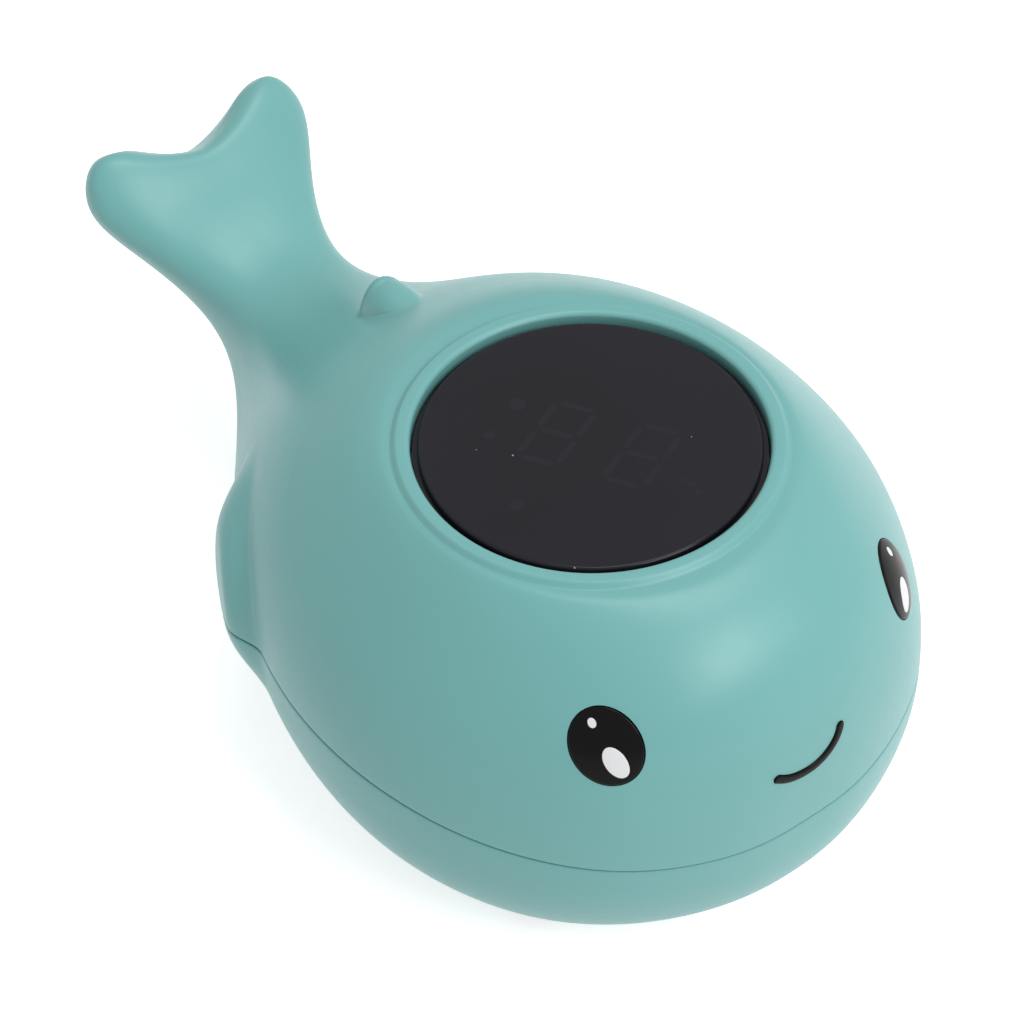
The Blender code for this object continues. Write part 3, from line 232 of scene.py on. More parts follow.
@dataclass(frozen=True)
class Skin:
    """Outer surface of the whale as a function of two parameters.

    A uniform cubic B-spline runs through control rows of section data from nose to tail; each
    section is a superellipse, so x = width * |cos t|^(2/n) and the height above or below the
    centre is the row's own half height * |sin t|^(2/n), leaned and swept with the row.
    """

    rows: tuple[tuple[float, ...], ...] = (
        (-38.3, 18.2, 0, 0, 0, 0, 0),
        (-38.3, 18.2, 0, 8.8, 13.5, 9.6, 0),
        (-32.7, 19.0, 0, 22.5, 24.6, 17.1, 0),
        (-21.9, 15.8, 0, 31.3, 31.2, 19.6, 0),
        (-8.0, 17.1, 0, 37.5, 31.3, 19.8, 0),
        (8.4, 20.0, 0, 37.4, 29.2, 22.8, 0),
        (25.1, 21.9, 0, 31.8, 25.0, 25.0, 0),
        (40.3, 22.4, 10, 21.3, 18.3, 20.5, 0),
        (51.7, 24.8, 32, 10.1, 9.8, 11.7, 0),
        (61.4, 25.6, 46, 7.8, 6.7, 8.4, 0),
        (69.6, 29.7, 54, 12.0, 5.7, 7.4, 1.3),
        (74.7, 34.3, 57, 16.7, 5.0, 6.3, 2.4),
        (75.8, 37.6, 50, 13.4, 3.7, 4.4, 6.1),
        (75.8, 37.6, 50, 9.8, 0, 0, 4.9),
    )
    roundness: float = 2.3
    sweep_power: float = 1.6
    sweep_rounding: float = 0.4
    plateau_z: float = 46.65
    plateau_radius_side: float = 22.55
    plateau_radius_front: float = 24.0
    plateau_reach: float = 34.0
    plateau_edge: float = 0.15
    plateau_fade: float = 2.8
    plateau_low: float = 30.0
    plateau_blend: float = 5.0
    base_soft: float = 0.5
    flipper_y: float = 25.1
    flipper_z: float = 24.1
    flipper_lean: float = 42.5
    flipper_long: float = 13.3
    flipper_short: float = 6.2
    flipper_rise: float = 2.5
    flipper_edge: float = 0.65
    flipper_clear: float = 12.0
    flipper_blend: float = 6.0
    face_span: tuple[float, float] = (0.3, 4.6)
    seam_stations: tuple[tuple[float, float], ...] = (
        (-45, 16.7), (-38, 18.0), (-30, 19.7), (-20, 20.2), (-10, 21.8), (0, 22.3),
        (10, 22.1), (20, 22.2), (30, 19.2), (45, 11.9), (60, 6.5))

    @property
    def last(self) -> float:
        """Value of s at the tail's rear edge; s is 0 at the nose."""
        return len(self.rows) - 1.0

    def spline(self, rows: np.ndarray, s: np.ndarray) -> np.ndarray:
        """Uniform cubic B-spline with its ends on the first and last row.

        Args:
            rows: Control rows, shape (n, k).
            s: Parameter from 0 to n - 1, any shape.

        Returns:
            Interpolated rows, shape s.shape + (k,).
        """
        rows = np.vstack([2 * rows[0] - rows[1], rows, 2 * rows[-1] - rows[-2]])
        s = np.clip(s, 0.0, len(rows) - 3 - TINY)
        first = s.astype(int)
        f = (s - first)[..., None]
        weights = ((1 - f) ** 3 / 6, (3 * f ** 3 - 6 * f ** 2 + 4) / 6,
                   (-3 * f ** 3 + 3 * f ** 2 + 3 * f + 1) / 6, f ** 3 / 6)
        return sum(w * rows[first + k] for k, w in enumerate(weights))

    def loft(self, s: np.ndarray, t: np.ndarray) -> np.ndarray:
        """Plain loft without flippers, plateau or flat belly.

        Args:
            s: Parameter along the body.
            t: Angle round the section, pi/2 at the top.

        Returns:
            Positions, shape s.shape + (3,), in design millimetres.
        """
        y, z, lean, width, above, below, sweep = np.moveaxis(
            self.spline(np.array(self.rows, float), s), -1, 0)
        power = 2.0 / self.roundness
        across = np.sign(np.cos(t)) * np.abs(np.cos(t)) ** power
        upward = np.sign(np.sin(t)) * np.abs(np.sin(t)) ** power
        lean = np.radians(lean)
        height = np.where(upward > 0, above, below) * upward
        reach = np.abs(across)
        past = np.maximum(0.0, (reach - 1.0 + self.sweep_rounding) / self.sweep_rounding)
        levelled = self.sweep_power * self.sweep_rounding / 3.0 * past ** 3
        shift = sweep * (reach ** self.sweep_power - levelled)
        return np.stack([width * across,
                         y - np.sin(lean) * height + np.cos(lean) * shift,
                         z + np.cos(lean) * height + np.sin(lean) * shift], -1)

    def loft_normal(self, s: np.ndarray, t: np.ndarray) -> np.ndarray:
        """Outward unit normal of the plain loft, from central differences."""
        return self.slope_normal(self.loft, s, t)

    def slope_normal(self, surface: Callable[[np.ndarray, np.ndarray], np.ndarray],
                     s: np.ndarray, t: np.ndarray) -> np.ndarray:
        """Outward unit normal of a surface function, the cross product of its two slopes.

        Args:
            surface: Function of s and t that returns positions.
            s: Parameter along the body.
            t: Angle round the section.

        Returns:
            Unit vectors, shape s.shape + (3,).
        """
        ds, dt = 0.004, 0.003
        s = np.clip(s, 2 * ds, self.last - 2 * ds)
        along = surface(s + ds, t) - surface(s - ds, t)
        about = surface(s, t + dt) - surface(s, t - dt)
        normal = np.cross(along, about)
        return normal / np.maximum(np.linalg.norm(normal, axis=-1, keepdims=True), 1e-12)

    def flipper(self, points: np.ndarray) -> np.ndarray:
        """Rise of the flippers: a flat-topped oval on each flank with a soft steep edge.

        Args:
            points: Positions on the plain loft.

        Returns:
            Height along the normal in millimetres.
        """
        lean = math.radians(self.flipper_lean)
        y, z = points[..., 1] - self.flipper_y, points[..., 2] - self.flipper_z
        long = (y * math.cos(lean) + z * math.sin(lean)) / self.flipper_long
        short = (y * math.sin(lean) - z * math.cos(lean)) / self.flipper_short
        reach = np.sqrt(long ** 2 + short ** 2)
        rise = self.flipper_rise * smoothstep((1.0 - reach) / self.flipper_edge)
        return rise * smoothstep((np.abs(points[..., 0]) - self.flipper_clear)
                                 / self.flipper_blend)

    def plateau_share(self, points: np.ndarray) -> np.ndarray:
        """Share of the plateau's height: 1 inside its edge and (1 - u)^fade outside.

        The edge is an oval that reaches further at the front and rear than at the sides; u is
        the distance past it, softened at the edge, as a share of the way to the reach.

        Args:
            points: Positions on the loft.

        Returns:
            Values from 0 to 1.
        """
        radius = np.maximum(np.hypot(points[..., 0], points[..., 1]), 1e-6)
        ahead = (points[..., 1] / radius) ** 2
        edge = self.plateau_radius_side + ahead * (
            self.plateau_radius_front - self.plateau_radius_side)
        past = self.plateau_edge * np.logaddexp(0.0, (radius - edge) / self.plateau_edge)
        u = np.clip(past / (self.plateau_reach - edge), 0.0, 1.0)
        return (1.0 - u) ** self.plateau_fade * smoothstep(
            (points[..., 2] - self.plateau_low) / self.plateau_blend)

    def points(self, s: np.ndarray, t: np.ndarray) -> np.ndarray:
        """Finished outer surface: loft, flippers, flat belly and the display's plateau.

        The belly is a smooth maximum of the loft's height and zero. The height near the display
        moves towards the plateau's by the plateau's share.

        Args:
            s: Parameter along the body.
            t: Angle round the section.

        Returns:
            Positions in design millimetres.
        """
        points = self.loft(s, t)
        points = points + self.flipper(points)[..., None] * self.loft_normal(s, t)
        z = points[..., 2] + self.plateau_share(points) * (self.plateau_z - points[..., 2])
        z = 0.5 * (z + np.sqrt(z * z + self.base_soft ** 2)) - 0.5 * self.base_soft * np.exp(
            -np.abs(z) / self.base_soft)
        z = np.maximum(z, 0.0)
        return np.stack([points[..., 0], points[..., 1], z], -1)

    def normals(self, s: np.ndarray, t: np.ndarray) -> np.ndarray:
        """Outward unit normals of the finished surface."""
        return self.slope_normal(self.points, s, t)

    def seam_height(self, y: np.ndarray) -> np.ndarray:
        """Height of the seam between the shells, a spline through the stations.

        Args:
            y: Places along the body.

        Returns:
            Heights, shape as y.
        """
        stations = np.array(self.seam_stations, float)
        fine = self.spline(stations, np.linspace(0.0, len(stations) - 1.0, 300))
        return np.interp(y, fine[:, 0], fine[:, 1])

    def over_seam(self, s: np.ndarray, t: np.ndarray) -> np.ndarray:
        """Height of a point over the seam's surface."""
        points = self.points(s, t)
        return points[..., 2] - self.seam_height(points[..., 1])

    def seam_angle(self, s: np.ndarray, offset: float) -> np.ndarray:
        """Angle t on the left flank at which the surface lies at an offset over the seam.

        Found by bisection between the section's bottom and top; a section that lies wholly
        above gives the bottom's angle.

        Args:
            s: Parameter along the body, shape (n,).
            offset: Height over the seam in millimetres.

        Returns:
            Angles from -pi/2 to pi/2, shape (n,).
        """
        low = np.full_like(s, -0.5 * math.pi)
        high = np.full_like(s, 0.5 * math.pi)
        for _ in range(44):
            middle = 0.5 * (low + high)
            under = self.over_seam(s, middle) < offset
            low = np.where(under, middle, low)
            high = np.where(under, high, middle)
        return 0.5 * (low + high)

    def seam_ends(self, offset: float) -> tuple[float, float]:
        """Values of s, near the nose and near the tail's root, where the belly meets the seam.

        Args:
            offset: Height over the seam in millimetres.

        Returns:
            The two values, found by bisection.
        """
        ends = []
        for out, inside in ((0.0, 1.4), (9.0, 6.0)):
            for _ in range(50):
                middle = 0.5 * (out + inside)
                over = self.over_seam(np.array(middle), np.array(-0.5 * math.pi))
                out, inside = (middle, inside) if over > offset else (out, middle)
            ends.append(0.5 * (out + inside))
        return ends[0], ends[1]

    def find(self, start: tuple[float, float], axes: np.ndarray, origin: np.ndarray,
             target: np.ndarray) -> np.ndarray:
        """Parameters of the surface points whose coordinates along two axes are given.

        Newton's method from one starting point, on all targets together.

        Args:
            start: First guess of s and t.
            axes: Two unit vectors, shape (2, 3).
            origin: Point that the coordinates are measured from.
            target: Wanted coordinates, shape (..., 2).

        Returns:
            Array of s and t, shape (..., 2).
        """
        guess = np.broadcast_to(np.array(start, float), target.shape).copy()
        step, least_area = 0.002, 1e-6
        longest_s, longest_t = 0.4, 0.2
        for _ in range(14):
            s, t = guess[..., 0], guess[..., 1]
            here = (self.points(s, t) - origin) @ axes.T
            by_s = ((self.points(s + step, t) - origin) @ axes.T - here) / step
            by_t = ((self.points(s, t + step) - origin) @ axes.T - here) / step
            miss = target - here
            area = by_s[..., 0] * by_t[..., 1] - by_s[..., 1] * by_t[..., 0]
            area = np.where(np.abs(area) < least_area, least_area, area)
            move_s = (miss[..., 0] * by_t[..., 1] - miss[..., 1] * by_t[..., 0]) / area
            move_t = (by_s[..., 0] * miss[..., 1] - by_s[..., 1] * miss[..., 0]) / area
            guess[..., 0] += np.clip(move_s, -longest_s, longest_s)
            guess[..., 1] += np.clip(move_t, -longest_t, longest_t)
        return guess

    def nearest(self, x: float, z: float) -> tuple[float, float]:
        """Rough s and t of the front surface's point with a given x and z.

        Args:
            x: Place across.
            z: Height.

        Returns:
            Values of s and t on a coarse grid of the face.
        """
        s, t = np.meshgrid(np.linspace(*self.face_span, 90), np.linspace(0, 2 * math.pi, 181),
                           indexing="ij")
        points = self.points(s, t)
        miss = (points[..., 0] - x) ** 2 + (points[..., 2] - z) ** 2
        miss = miss + np.where(points[..., 1] > 0, 1e6, 0.0)
        best = np.unravel_index(np.argmin(miss), miss.shape)
        return float(s[best]), float(t[best])


# Finishes


def srgb(red: int, green: int, blue: int) -> tuple[float, float, float, float]:
    """Linear colour of an sRGB triple.

    Args:
        red: Red, 0 to 255.
        green: Green, 0 to 255.
        blue: Blue, 0 to 255.

    Returns:
        Linear red, green, blue and an alpha of 1.
    """
    values = [c / 255.0 for c in (red, green, blue)]
    linear = [c / 12.92 if c <= 0.04045 else ((c + 0.055) / 1.055) ** 2.4 for c in values]
    return (*linear, 1.0)


def feed(tree: bpy.types.NodeTree, entry: bpy.types.NodeSocket, value: object) -> None:
    """Link a socket to an input, or set the input to a plain value.

    Args:
        tree: Node tree of the input.
        entry: The input.
        value: Output socket, number or colour.
    """
    if isinstance(value, bpy.types.NodeSocket):
        tree.links.new(value, entry)
    else:
        entry.default_value = value


def worked_out(tree: bpy.types.NodeTree, operation: str, first: object,
               second: object) -> bpy.types.NodeSocket:
    """Result of a math operation on two sockets or numbers.

    Args:
        tree: Node tree that gets the node.
        operation: Name of the operation.
        first: First socket or number.
        second: Second socket or number.

    Returns:
        Output socket of the result.
    """
    node = tree.nodes.new("ShaderNodeMath")
    node.operation = operation
    feed(tree, node.inputs[0], first)
    feed(tree, node.inputs[1], second)
    return node.outputs[0]


def mixed(tree: bpy.types.NodeTree, factor: bpy.types.NodeSocket, under: object,
          over: object) -> bpy.types.NodeSocket:
    """Colour that goes from one to another with a factor.

    Args:
        tree: Node tree that gets the node.
        factor: Socket of the factor.
        under: Socket or colour at 0.
        over: Socket or colour at 1.

    Returns:
        Output socket of the colour.
    """
    mix = tree.nodes.new("ShaderNodeMix")
    mix.data_type = "RGBA"
    for label, value in (("Factor", factor), ("A", under), ("B", over)):
        feed(tree, mix.inputs[label], value)
    return mix.outputs["Result"]


def new_group(name: str, inputs: dict[str, float], outputs: list[str]) -> bpy.types.NodeTree:
    """Shader node group with float inputs and outputs.

    Args:
        name: Name of the group.
        inputs: Input names and their default values.
        outputs: Output names.

    Returns:
        The group, with its input and output nodes named GroupIn and GroupOut.
    """
    group = bpy.data.node_groups.new(name, "ShaderNodeTree")
    for label, value in inputs.items():
        socket = group.interface.new_socket(label, in_out="INPUT", socket_type="NodeSocketFloat")
        socket.default_value = value
    for label in outputs:
        group.interface.new_socket(label, in_out="OUTPUT", socket_type="NodeSocketFloat")
    group.nodes.new("NodeGroupInput").name = "GroupIn"
    group.nodes.new("NodeGroupOutput").name = "GroupOut"
    return group


def noise_chain(group: bpy.types.NodeTree, scale: str, detail: float,
                low: float, high: float) -> bpy.types.NodeSocket:
    """Noise on object coordinates, mapped from a band of its values to 0..1.

    Args:
        group: Group that gets the nodes.
        scale: Name of the group input that scales the noise.
        detail: Octaves of the noise.
        low: Noise value that becomes 0.
        high: Noise value that becomes 1.

    Returns:
        Output socket of the mapped value.
    """
    nodes, links = group.nodes, group.links
    place = nodes.new("ShaderNodeTexCoord")
    noise = nodes.new("ShaderNodeTexNoise")
    noise.inputs["Detail"].default_value = detail
    links.new(place.outputs["Object"], noise.inputs["Vector"])
    links.new(nodes["GroupIn"].outputs[scale], noise.inputs["Scale"])
    band = nodes.new("ShaderNodeMapRange")
    band.inputs["From Min"].default_value = low
    band.inputs["From Max"].default_value = high
    links.new(noise.outputs["Fac"], band.inputs["Value"])
    return band.outputs["Result"]


def moulding_group() -> bpy.types.NodeTree:
    """Slow tone drift and fine grain of a moulded surface, each a mapped noise.

    Returns:
        The group, with its outputs Drift and Grain.
    """
    group = new_group("moulded_surface", {"Drift Scale": 28.0, "Grain Scale": 900.0},
                      ["Drift", "Grain"])
    out = group.nodes["GroupOut"].inputs
    group.links.new(noise_chain(group, "Drift Scale", 2.0, 0.3, 0.7), out["Drift"])
    group.links.new(noise_chain(group, "Grain Scale", 3.0, 0.25, 0.75), out["Grain"])
    return group


def specks_group() -> bpy.types.NodeTree:
    """Rare dust specks: cells of a Voronoi pattern whose centre is near and whose draw is high.

    Returns:
        The group, with its output Specks.
    """
    group = new_group("dust_specks", {"Scale": 760.0, "Size": 0.09, "Rarity": 0.93}, ["Specks"])
    nodes, links = group.nodes, group.links
    given = nodes["GroupIn"].outputs
    place = nodes.new("ShaderNodeTexCoord")
    cells = nodes.new("ShaderNodeTexVoronoi")
    links.new(place.outputs["Object"], cells.inputs["Vector"])
    links.new(given["Scale"], cells.inputs["Scale"])
    draw = nodes.new("ShaderNodeSeparateColor")
    links.new(cells.outputs["Color"], draw.inputs["Color"])
    near = worked_out(group, "LESS_THAN", cells.outputs["Distance"], given["Size"])
    rare = worked_out(group, "GREATER_THAN", draw.outputs["Red"], given["Rarity"])
    links.new(worked_out(group, "MULTIPLY", near, rare), nodes["GroupOut"].inputs["Specks"])
    return group


@dataclass(frozen=True)
class Finish:
    """A surface finish: base colour with its drift, roughness with its grain, dust and bump."""

    name: str
    colour: tuple[float, float, float, float]
    roughness: float
    metallic: float = 0.0
    drift: float = 0.03
    grain: float = 0.03
    grain_scale: float = 900.0
    bump: float = 0.02
    dust: float = 0.0
    coat: float = 0.0
    coat_roughness: float = 0.1
    specular: float = 0.5
    bump_depth: float = 0.05
    mark: str = ""
    mark_colour: tuple[float, float, float, float] = (0.05, 0.05, 0.05, 1.0)
    dust_colour: tuple[float, float, float, float] = srgb(205, 210, 214)

    def material(self) -> bpy.types.Material:
        """Build the material, or return the one already built under this name.

        Returns:
            The material with its node tree.
        """
        known = bpy.data.materials.get(self.name)
        if known:
            return known
        material = bpy.data.materials.new(self.name)
        material.use_nodes = True
        tree = material.node_tree
        nodes, links = tree.nodes, tree.links
        shader = nodes["Principled BSDF"]
        for label, value in (("Metallic", self.metallic), ("Specular IOR Level", self.specular),
                             ("Coat Weight", self.coat), ("Coat Roughness", self.coat_roughness)):
            shader.inputs[label].default_value = value
        surface = nodes.new("ShaderNodeGroup")
        surface.node_tree = bpy.data.node_groups.get("moulded_surface") or moulding_group()
        surface.inputs["Grain Scale"].default_value = self.grain_scale
        darker = tuple(c * (1.0 - self.drift) for c in self.colour[:3]) + (1.0,)
        lighter = tuple(min(1.0, c * (1.0 + self.drift)) for c in self.colour[:3]) + (1.0,)
        colour = mixed(tree, surface.outputs["Drift"], darker, lighter)
        if self.mark:
            colour = self.marked(tree, colour)
        if self.dust > 0.0:
            colour = self.dusted(tree, colour)
        links.new(colour, shader.inputs["Base Color"])
        rough = nodes.new("ShaderNodeMapRange")
        rough.inputs["To Min"].default_value = max(0.0, self.roughness - self.grain)
        rough.inputs["To Max"].default_value = min(1.0, self.roughness + self.grain)
        links.new(surface.outputs["Grain"], rough.inputs["Value"])
        links.new(rough.outputs["Result"], shader.inputs["Roughness"])
        if self.bump > 0.0:
            bump = nodes.new("ShaderNodeBump")
            bump.inputs["Strength"].default_value = self.bump
            bump.inputs["Distance"].default_value = self.bump_depth * MM
            links.new(surface.outputs["Grain"], bump.inputs["Height"])
            links.new(bump.outputs["Normal"], shader.inputs["Normal"])
        return material

    def marked(self, tree: bpy.types.NodeTree,
               colour: bpy.types.NodeSocket) -> bpy.types.NodeSocket:
        """Mix in the mark colour where the mesh attribute of the mark is set.

        Args:
            tree: Node tree that gets the nodes.
            colour: Colour under the mark.

        Returns:
            Socket of the mixed colour.
        """
        mask = tree.nodes.new("ShaderNodeAttribute")
        mask.attribute_name = self.mark
        return mixed(tree, mask.outputs["Fac"], colour, self.mark_colour)

    def dusted(self, tree: bpy.types.NodeTree,
               colour: bpy.types.NodeSocket) -> bpy.types.NodeSocket:
        """Mix in pale dust specks.

        Args:
            tree: Node tree that gets the nodes.
            colour: Colour under the dust.

        Returns:
            Socket of the mixed colour.
        """
        specks = tree.nodes.new("ShaderNodeGroup")
        specks.node_tree = bpy.data.node_groups.get("dust_specks") or specks_group()
        amount = worked_out(tree, "MULTIPLY", specks.outputs["Specks"], self.dust)
        return mixed(tree, amount, colour, self.dust_colour)

    def on(self, obj: bpy.types.Object) -> None:
        """Give an object this finish as its only material."""
        obj.data.materials.clear()
        obj.data.materials.append(self.material())


TEAL = Finish("satin_teal_plastic", srgb(110, 172, 170), 0.38, drift=0.015, bump=0.05)
SMOKED = Finish("smoked_window", srgb(27, 26, 33), 0.12, drift=0.2, grain=0.02, bump=0.0,
                dust=0.45, specular=0.18, mark="figures", mark_colour=srgb(30, 29, 36))
PUPIL = Finish("gloss_black_inlay", srgb(10, 10, 11), 0.2, drift=0.02, grain=0.02, bump=0.01,
               specular=0.1)
GLINT = Finish("white_print", srgb(226, 227, 229), 0.3, drift=0.01, grain=0.02, bump=0.0)
FOAM = Finish("black_foam", srgb(24, 24, 25), 0.95, drift=0.2, grain=0.04, grain_scale=1600.0,
              bump=0.5)
CORD = Finish("grey_silicone", srgb(190, 192, 190), 0.5, drift=0.02, bump=0.02)
STEEL = Finish("bright_steel", srgb(200, 201, 203), 0.28, metallic=1.0, drift=0.04, grain=0.1,
               grain_scale=500.0, bump=0.03)
NICKEL = Finish("nickel_plate", srgb(205, 199, 188), 0.22, metallic=1.0, drift=0.05, grain=0.08,
                grain_scale=400.0, bump=0.03)
BOARD = Finish("green_board", srgb(28, 96, 58), 0.35, drift=0.12, grain=0.08, grain_scale=350.0,
               bump=0.1, coat=0.4)
EPOXY = Finish("black_epoxy", srgb(34, 34, 36), 0.55, drift=0.08, grain=0.08, grain_scale=700.0,
               bump=0.15)
FILM = Finish("grey_figure_film", srgb(150, 148, 145), 0.45, drift=0.03, bump=0.02)
HOT = Finish("red_lamp", srgb(150, 22, 20), 0.15, drift=0.05, coat=0.5)
COOL = Finish("blue_lamp", srgb(28, 62, 150), 0.15, drift=0.05, coat=0.5)
WRAP = Finish("green_cell_wrap", srgb(46, 96, 60), 0.3, drift=0.06, grain=0.06, coat=0.6)
RED_LEAD = Finish("red_lead", srgb(165, 28, 22), 0.45, drift=0.05, bump=0.05)
BLACK_LEAD = Finish("black_lead", srgb(26, 26, 27), 0.5, drift=0.05, bump=0.05)


def register(obj: bpy.types.Object, finish: Finish, slot: str, *nodes: str) -> None:
    """Dress a new piece, hang it under the root and hide the CAD nodes that it replaces.

    Args:
        obj: The piece.
        finish: Its finish.
        slot: Material slot of the record; not used.
        nodes: CAD nodes that it replaces.
    """
    finish.on(obj)
    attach(obj, "root")
    if nodes:
        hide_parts(*nodes)
    LOG.info("%s: %d faces", obj.name, len(obj.data.polygons))


# Sub-assemblies


@dataclass
class Shells:
    """Both hollow halves of the body, parted by a fine groove with rounded edges."""

    skin: Skin
    wall: float = 2.4
    gap: float = 0.16
    edge_radius: float = 0.22
    edge_depth: float = 1.5
    columns: int = 220
    inner_columns: int = 28
    body_rings: int = 230
    tail_rings: int = 84
    nose_rings: int = 10
    end_rings: int = 40
    end_span: int = 7
    lip_degrees: tuple[float, ...] = (25.0, 50.0, 75.0, 90.0)
    cavity_end: float = 8.1

    def stations(self, upper: bool) -> tuple[np.ndarray, float]:
        """Values of s of the rings, closer together where the seam meets the centre line.

        Args:
            upper: Whether the rings are the upper shell's.

        Returns:
            The values, and the offset of the shell's edge over the seam.
        """
        side = 1.0 if upper else -1.0
        offset = side * (0.5 * self.gap + self.edge_radius)
        first, last = self.skin.seam_ends(offset)
        wave = 0.5 - 0.5 * np.cos(np.linspace(0.0, math.pi, self.body_rings))
        even = np.linspace(0.0, 1.0, self.body_rings)
        middle = first + (last - first) * (0.5 * wave + 0.5 * even)
        ends = 0.5 - 0.5 * np.cos(np.linspace(0.0, math.pi, self.end_rings))
        span = self.end_span
        start = first + (middle[span - 1] - first) * ends ** 2
        finish = last - (last - middle[-span]) * ends[::-1] ** 2
        middle = np.concatenate([start, middle[span:-span], finish])
        if not upper:
            return middle, offset
        nose = first * np.linspace(0.0, 1.0, self.nose_rings, endpoint=False)
        tail = last + (self.skin.last - last) * np.linspace(0.0, 1.0, self.tail_rings + 1)[1:]
        return np.concatenate([nose, middle, tail]), offset

    def sheet(self, s: np.ndarray, offset: float, upper: bool, columns: int) -> tuple[
            np.ndarray, np.ndarray]:
        """Parameters of a shell's surface between its two seam edges.

        Args:
            s: Rings along the body.
            offset: Height of the edge over the seam.
            upper: Whether it is the upper shell.
            columns: Points across.

        Returns:
            Arrays of s and t, shape (rings, columns), from the right edge to the left.
        """
        edge = self.skin.seam_angle(s, offset)
        share = np.linspace(-1.0, 1.0, columns)[None, :]
        if upper:
            t = 0.5 * math.pi - share * (0.5 * math.pi - edge[:, None])
        else:
            t = 1.5 * math.pi + share * (0.5 * math.pi + edge[:, None])
        return np.broadcast_to(s[:, None], t.shape), t

    def build(self, upper: bool) -> bpy.types.Object:
        """One hollow shell: outer skin, rounded edge, edge face and inner skin.

        Args:
            upper: Whether it is the upper shell.

        Returns:
            The closed shell.
        """
        skin = self.skin
        s, offset = self.stations(upper)
        s_outer, t_outer = self.sheet(s, offset, upper, self.columns)
        outer = skin.points(s_outer, t_outer)
        cavity = s if not upper else s[s < self.cavity_end]
        s_inner, t_inner = self.sheet(cavity, offset, upper, self.inner_columns)
        inner = skin.loft(s_inner, t_inner) - self.wall * skin.loft_normal(s_inner, t_inner)
        inner[..., 2] = np.clip(inner[..., 2], self.wall, skin.plateau_z - self.wall)
        base = outer.shape[0] * outer.shape[1]
        open_rings = np.nonzero(skin.seam_angle(s, offset) > -0.5 * math.pi + 1e-6)[0]
        lip, lip_faces = self.lip(outer, inner, base, open_rings[0], open_rings[-1])
        faces = np.concatenate([grid_faces(*outer.shape[:2], False),
                                grid_faces(*inner.shape[:2], False, base)[:, ::-1],
                                *lip_faces]).tolist()
        if upper:
            end = base + (inner.shape[0] - 1) * self.inner_columns
            faces.append(list(range(end, end + self.inner_columns)))
        vertices = np.concatenate([outer.reshape(-1, 3), inner.reshape(-1, 3), lip])
        return mesh_object("upper_shell_dress" if upper else "lower_shell_dress", vertices,
                           faces, merge=0.0015)

    def lip(self, outer: np.ndarray, inner: np.ndarray, base: int, first: int,
            last: int) -> tuple[np.ndarray, list[np.ndarray]]:
        """Rounded edge along the seam, a loop down one flank and back up the other.

        Rows of the loop leave the outer edge along a quarter circle towards the seam and then
        run inwards to the inner skin's edge.

        Args:
            outer: Outer skin's points.
            inner: Inner skin's points.
            base: Number of the inner skin's first point.
            first: First ring that the seam crosses.
            last: Last ring that the seam crosses.

        Returns:
            The new points and the faces that join both skins.
        """
        rings = np.arange(first, last + 1)
        rows, columns = outer.shape[:2]
        path_ring = np.concatenate([rings, rings[::-1]])
        right = np.concatenate([np.zeros(len(rings), int), np.full(len(rings), columns - 1)])
        edge = outer[path_ring, right]
        inside = right.copy()
        inside[right > 0] = inner.shape[1] - 1
        inward = inner[path_ring, inside] - edge
        inward /= np.linalg.norm(inward, axis=-1, keepdims=True)
        tangent = np.roll(edge, -1, axis=0) - np.roll(edge, 1, axis=0)
        tangent /= np.maximum(np.linalg.norm(tangent, axis=-1, keepdims=True), TINY)
        out = np.cross(tangent, inward)
        probe = outer[path_ring, np.where(right > 0, columns - 3, 2)] - edge
        out *= -np.sign(np.sum(out * probe, -1, keepdims=True) + 1e-12)
        out /= np.maximum(np.linalg.norm(out, axis=-1, keepdims=True), TINY)
        steps = []
        for turn in np.radians(self.lip_degrees):
            steps.append(edge + self.edge_radius * (math.sin(turn) * out
                                                    + (1.0 - math.cos(turn)) * inward))
        steps.append(steps[-1] + self.edge_depth * inward)
        loop = len(path_ring)
        start = base + inner.shape[0] * inner.shape[1]
        outer_number = path_ring * columns + right
        inner_number = base + path_ring * inner.shape[1] + inside
        numbers = [start + k * loop + np.arange(loop) for k in range(len(steps))]
        numbers = [outer_number, *numbers, inner_number]
        faces = [np.stack([here, np.roll(here, -1), np.roll(there, -1), there], -1)
                 for here, there in zip(numbers[:-1], numbers[1:])]
        return np.concatenate(steps), faces


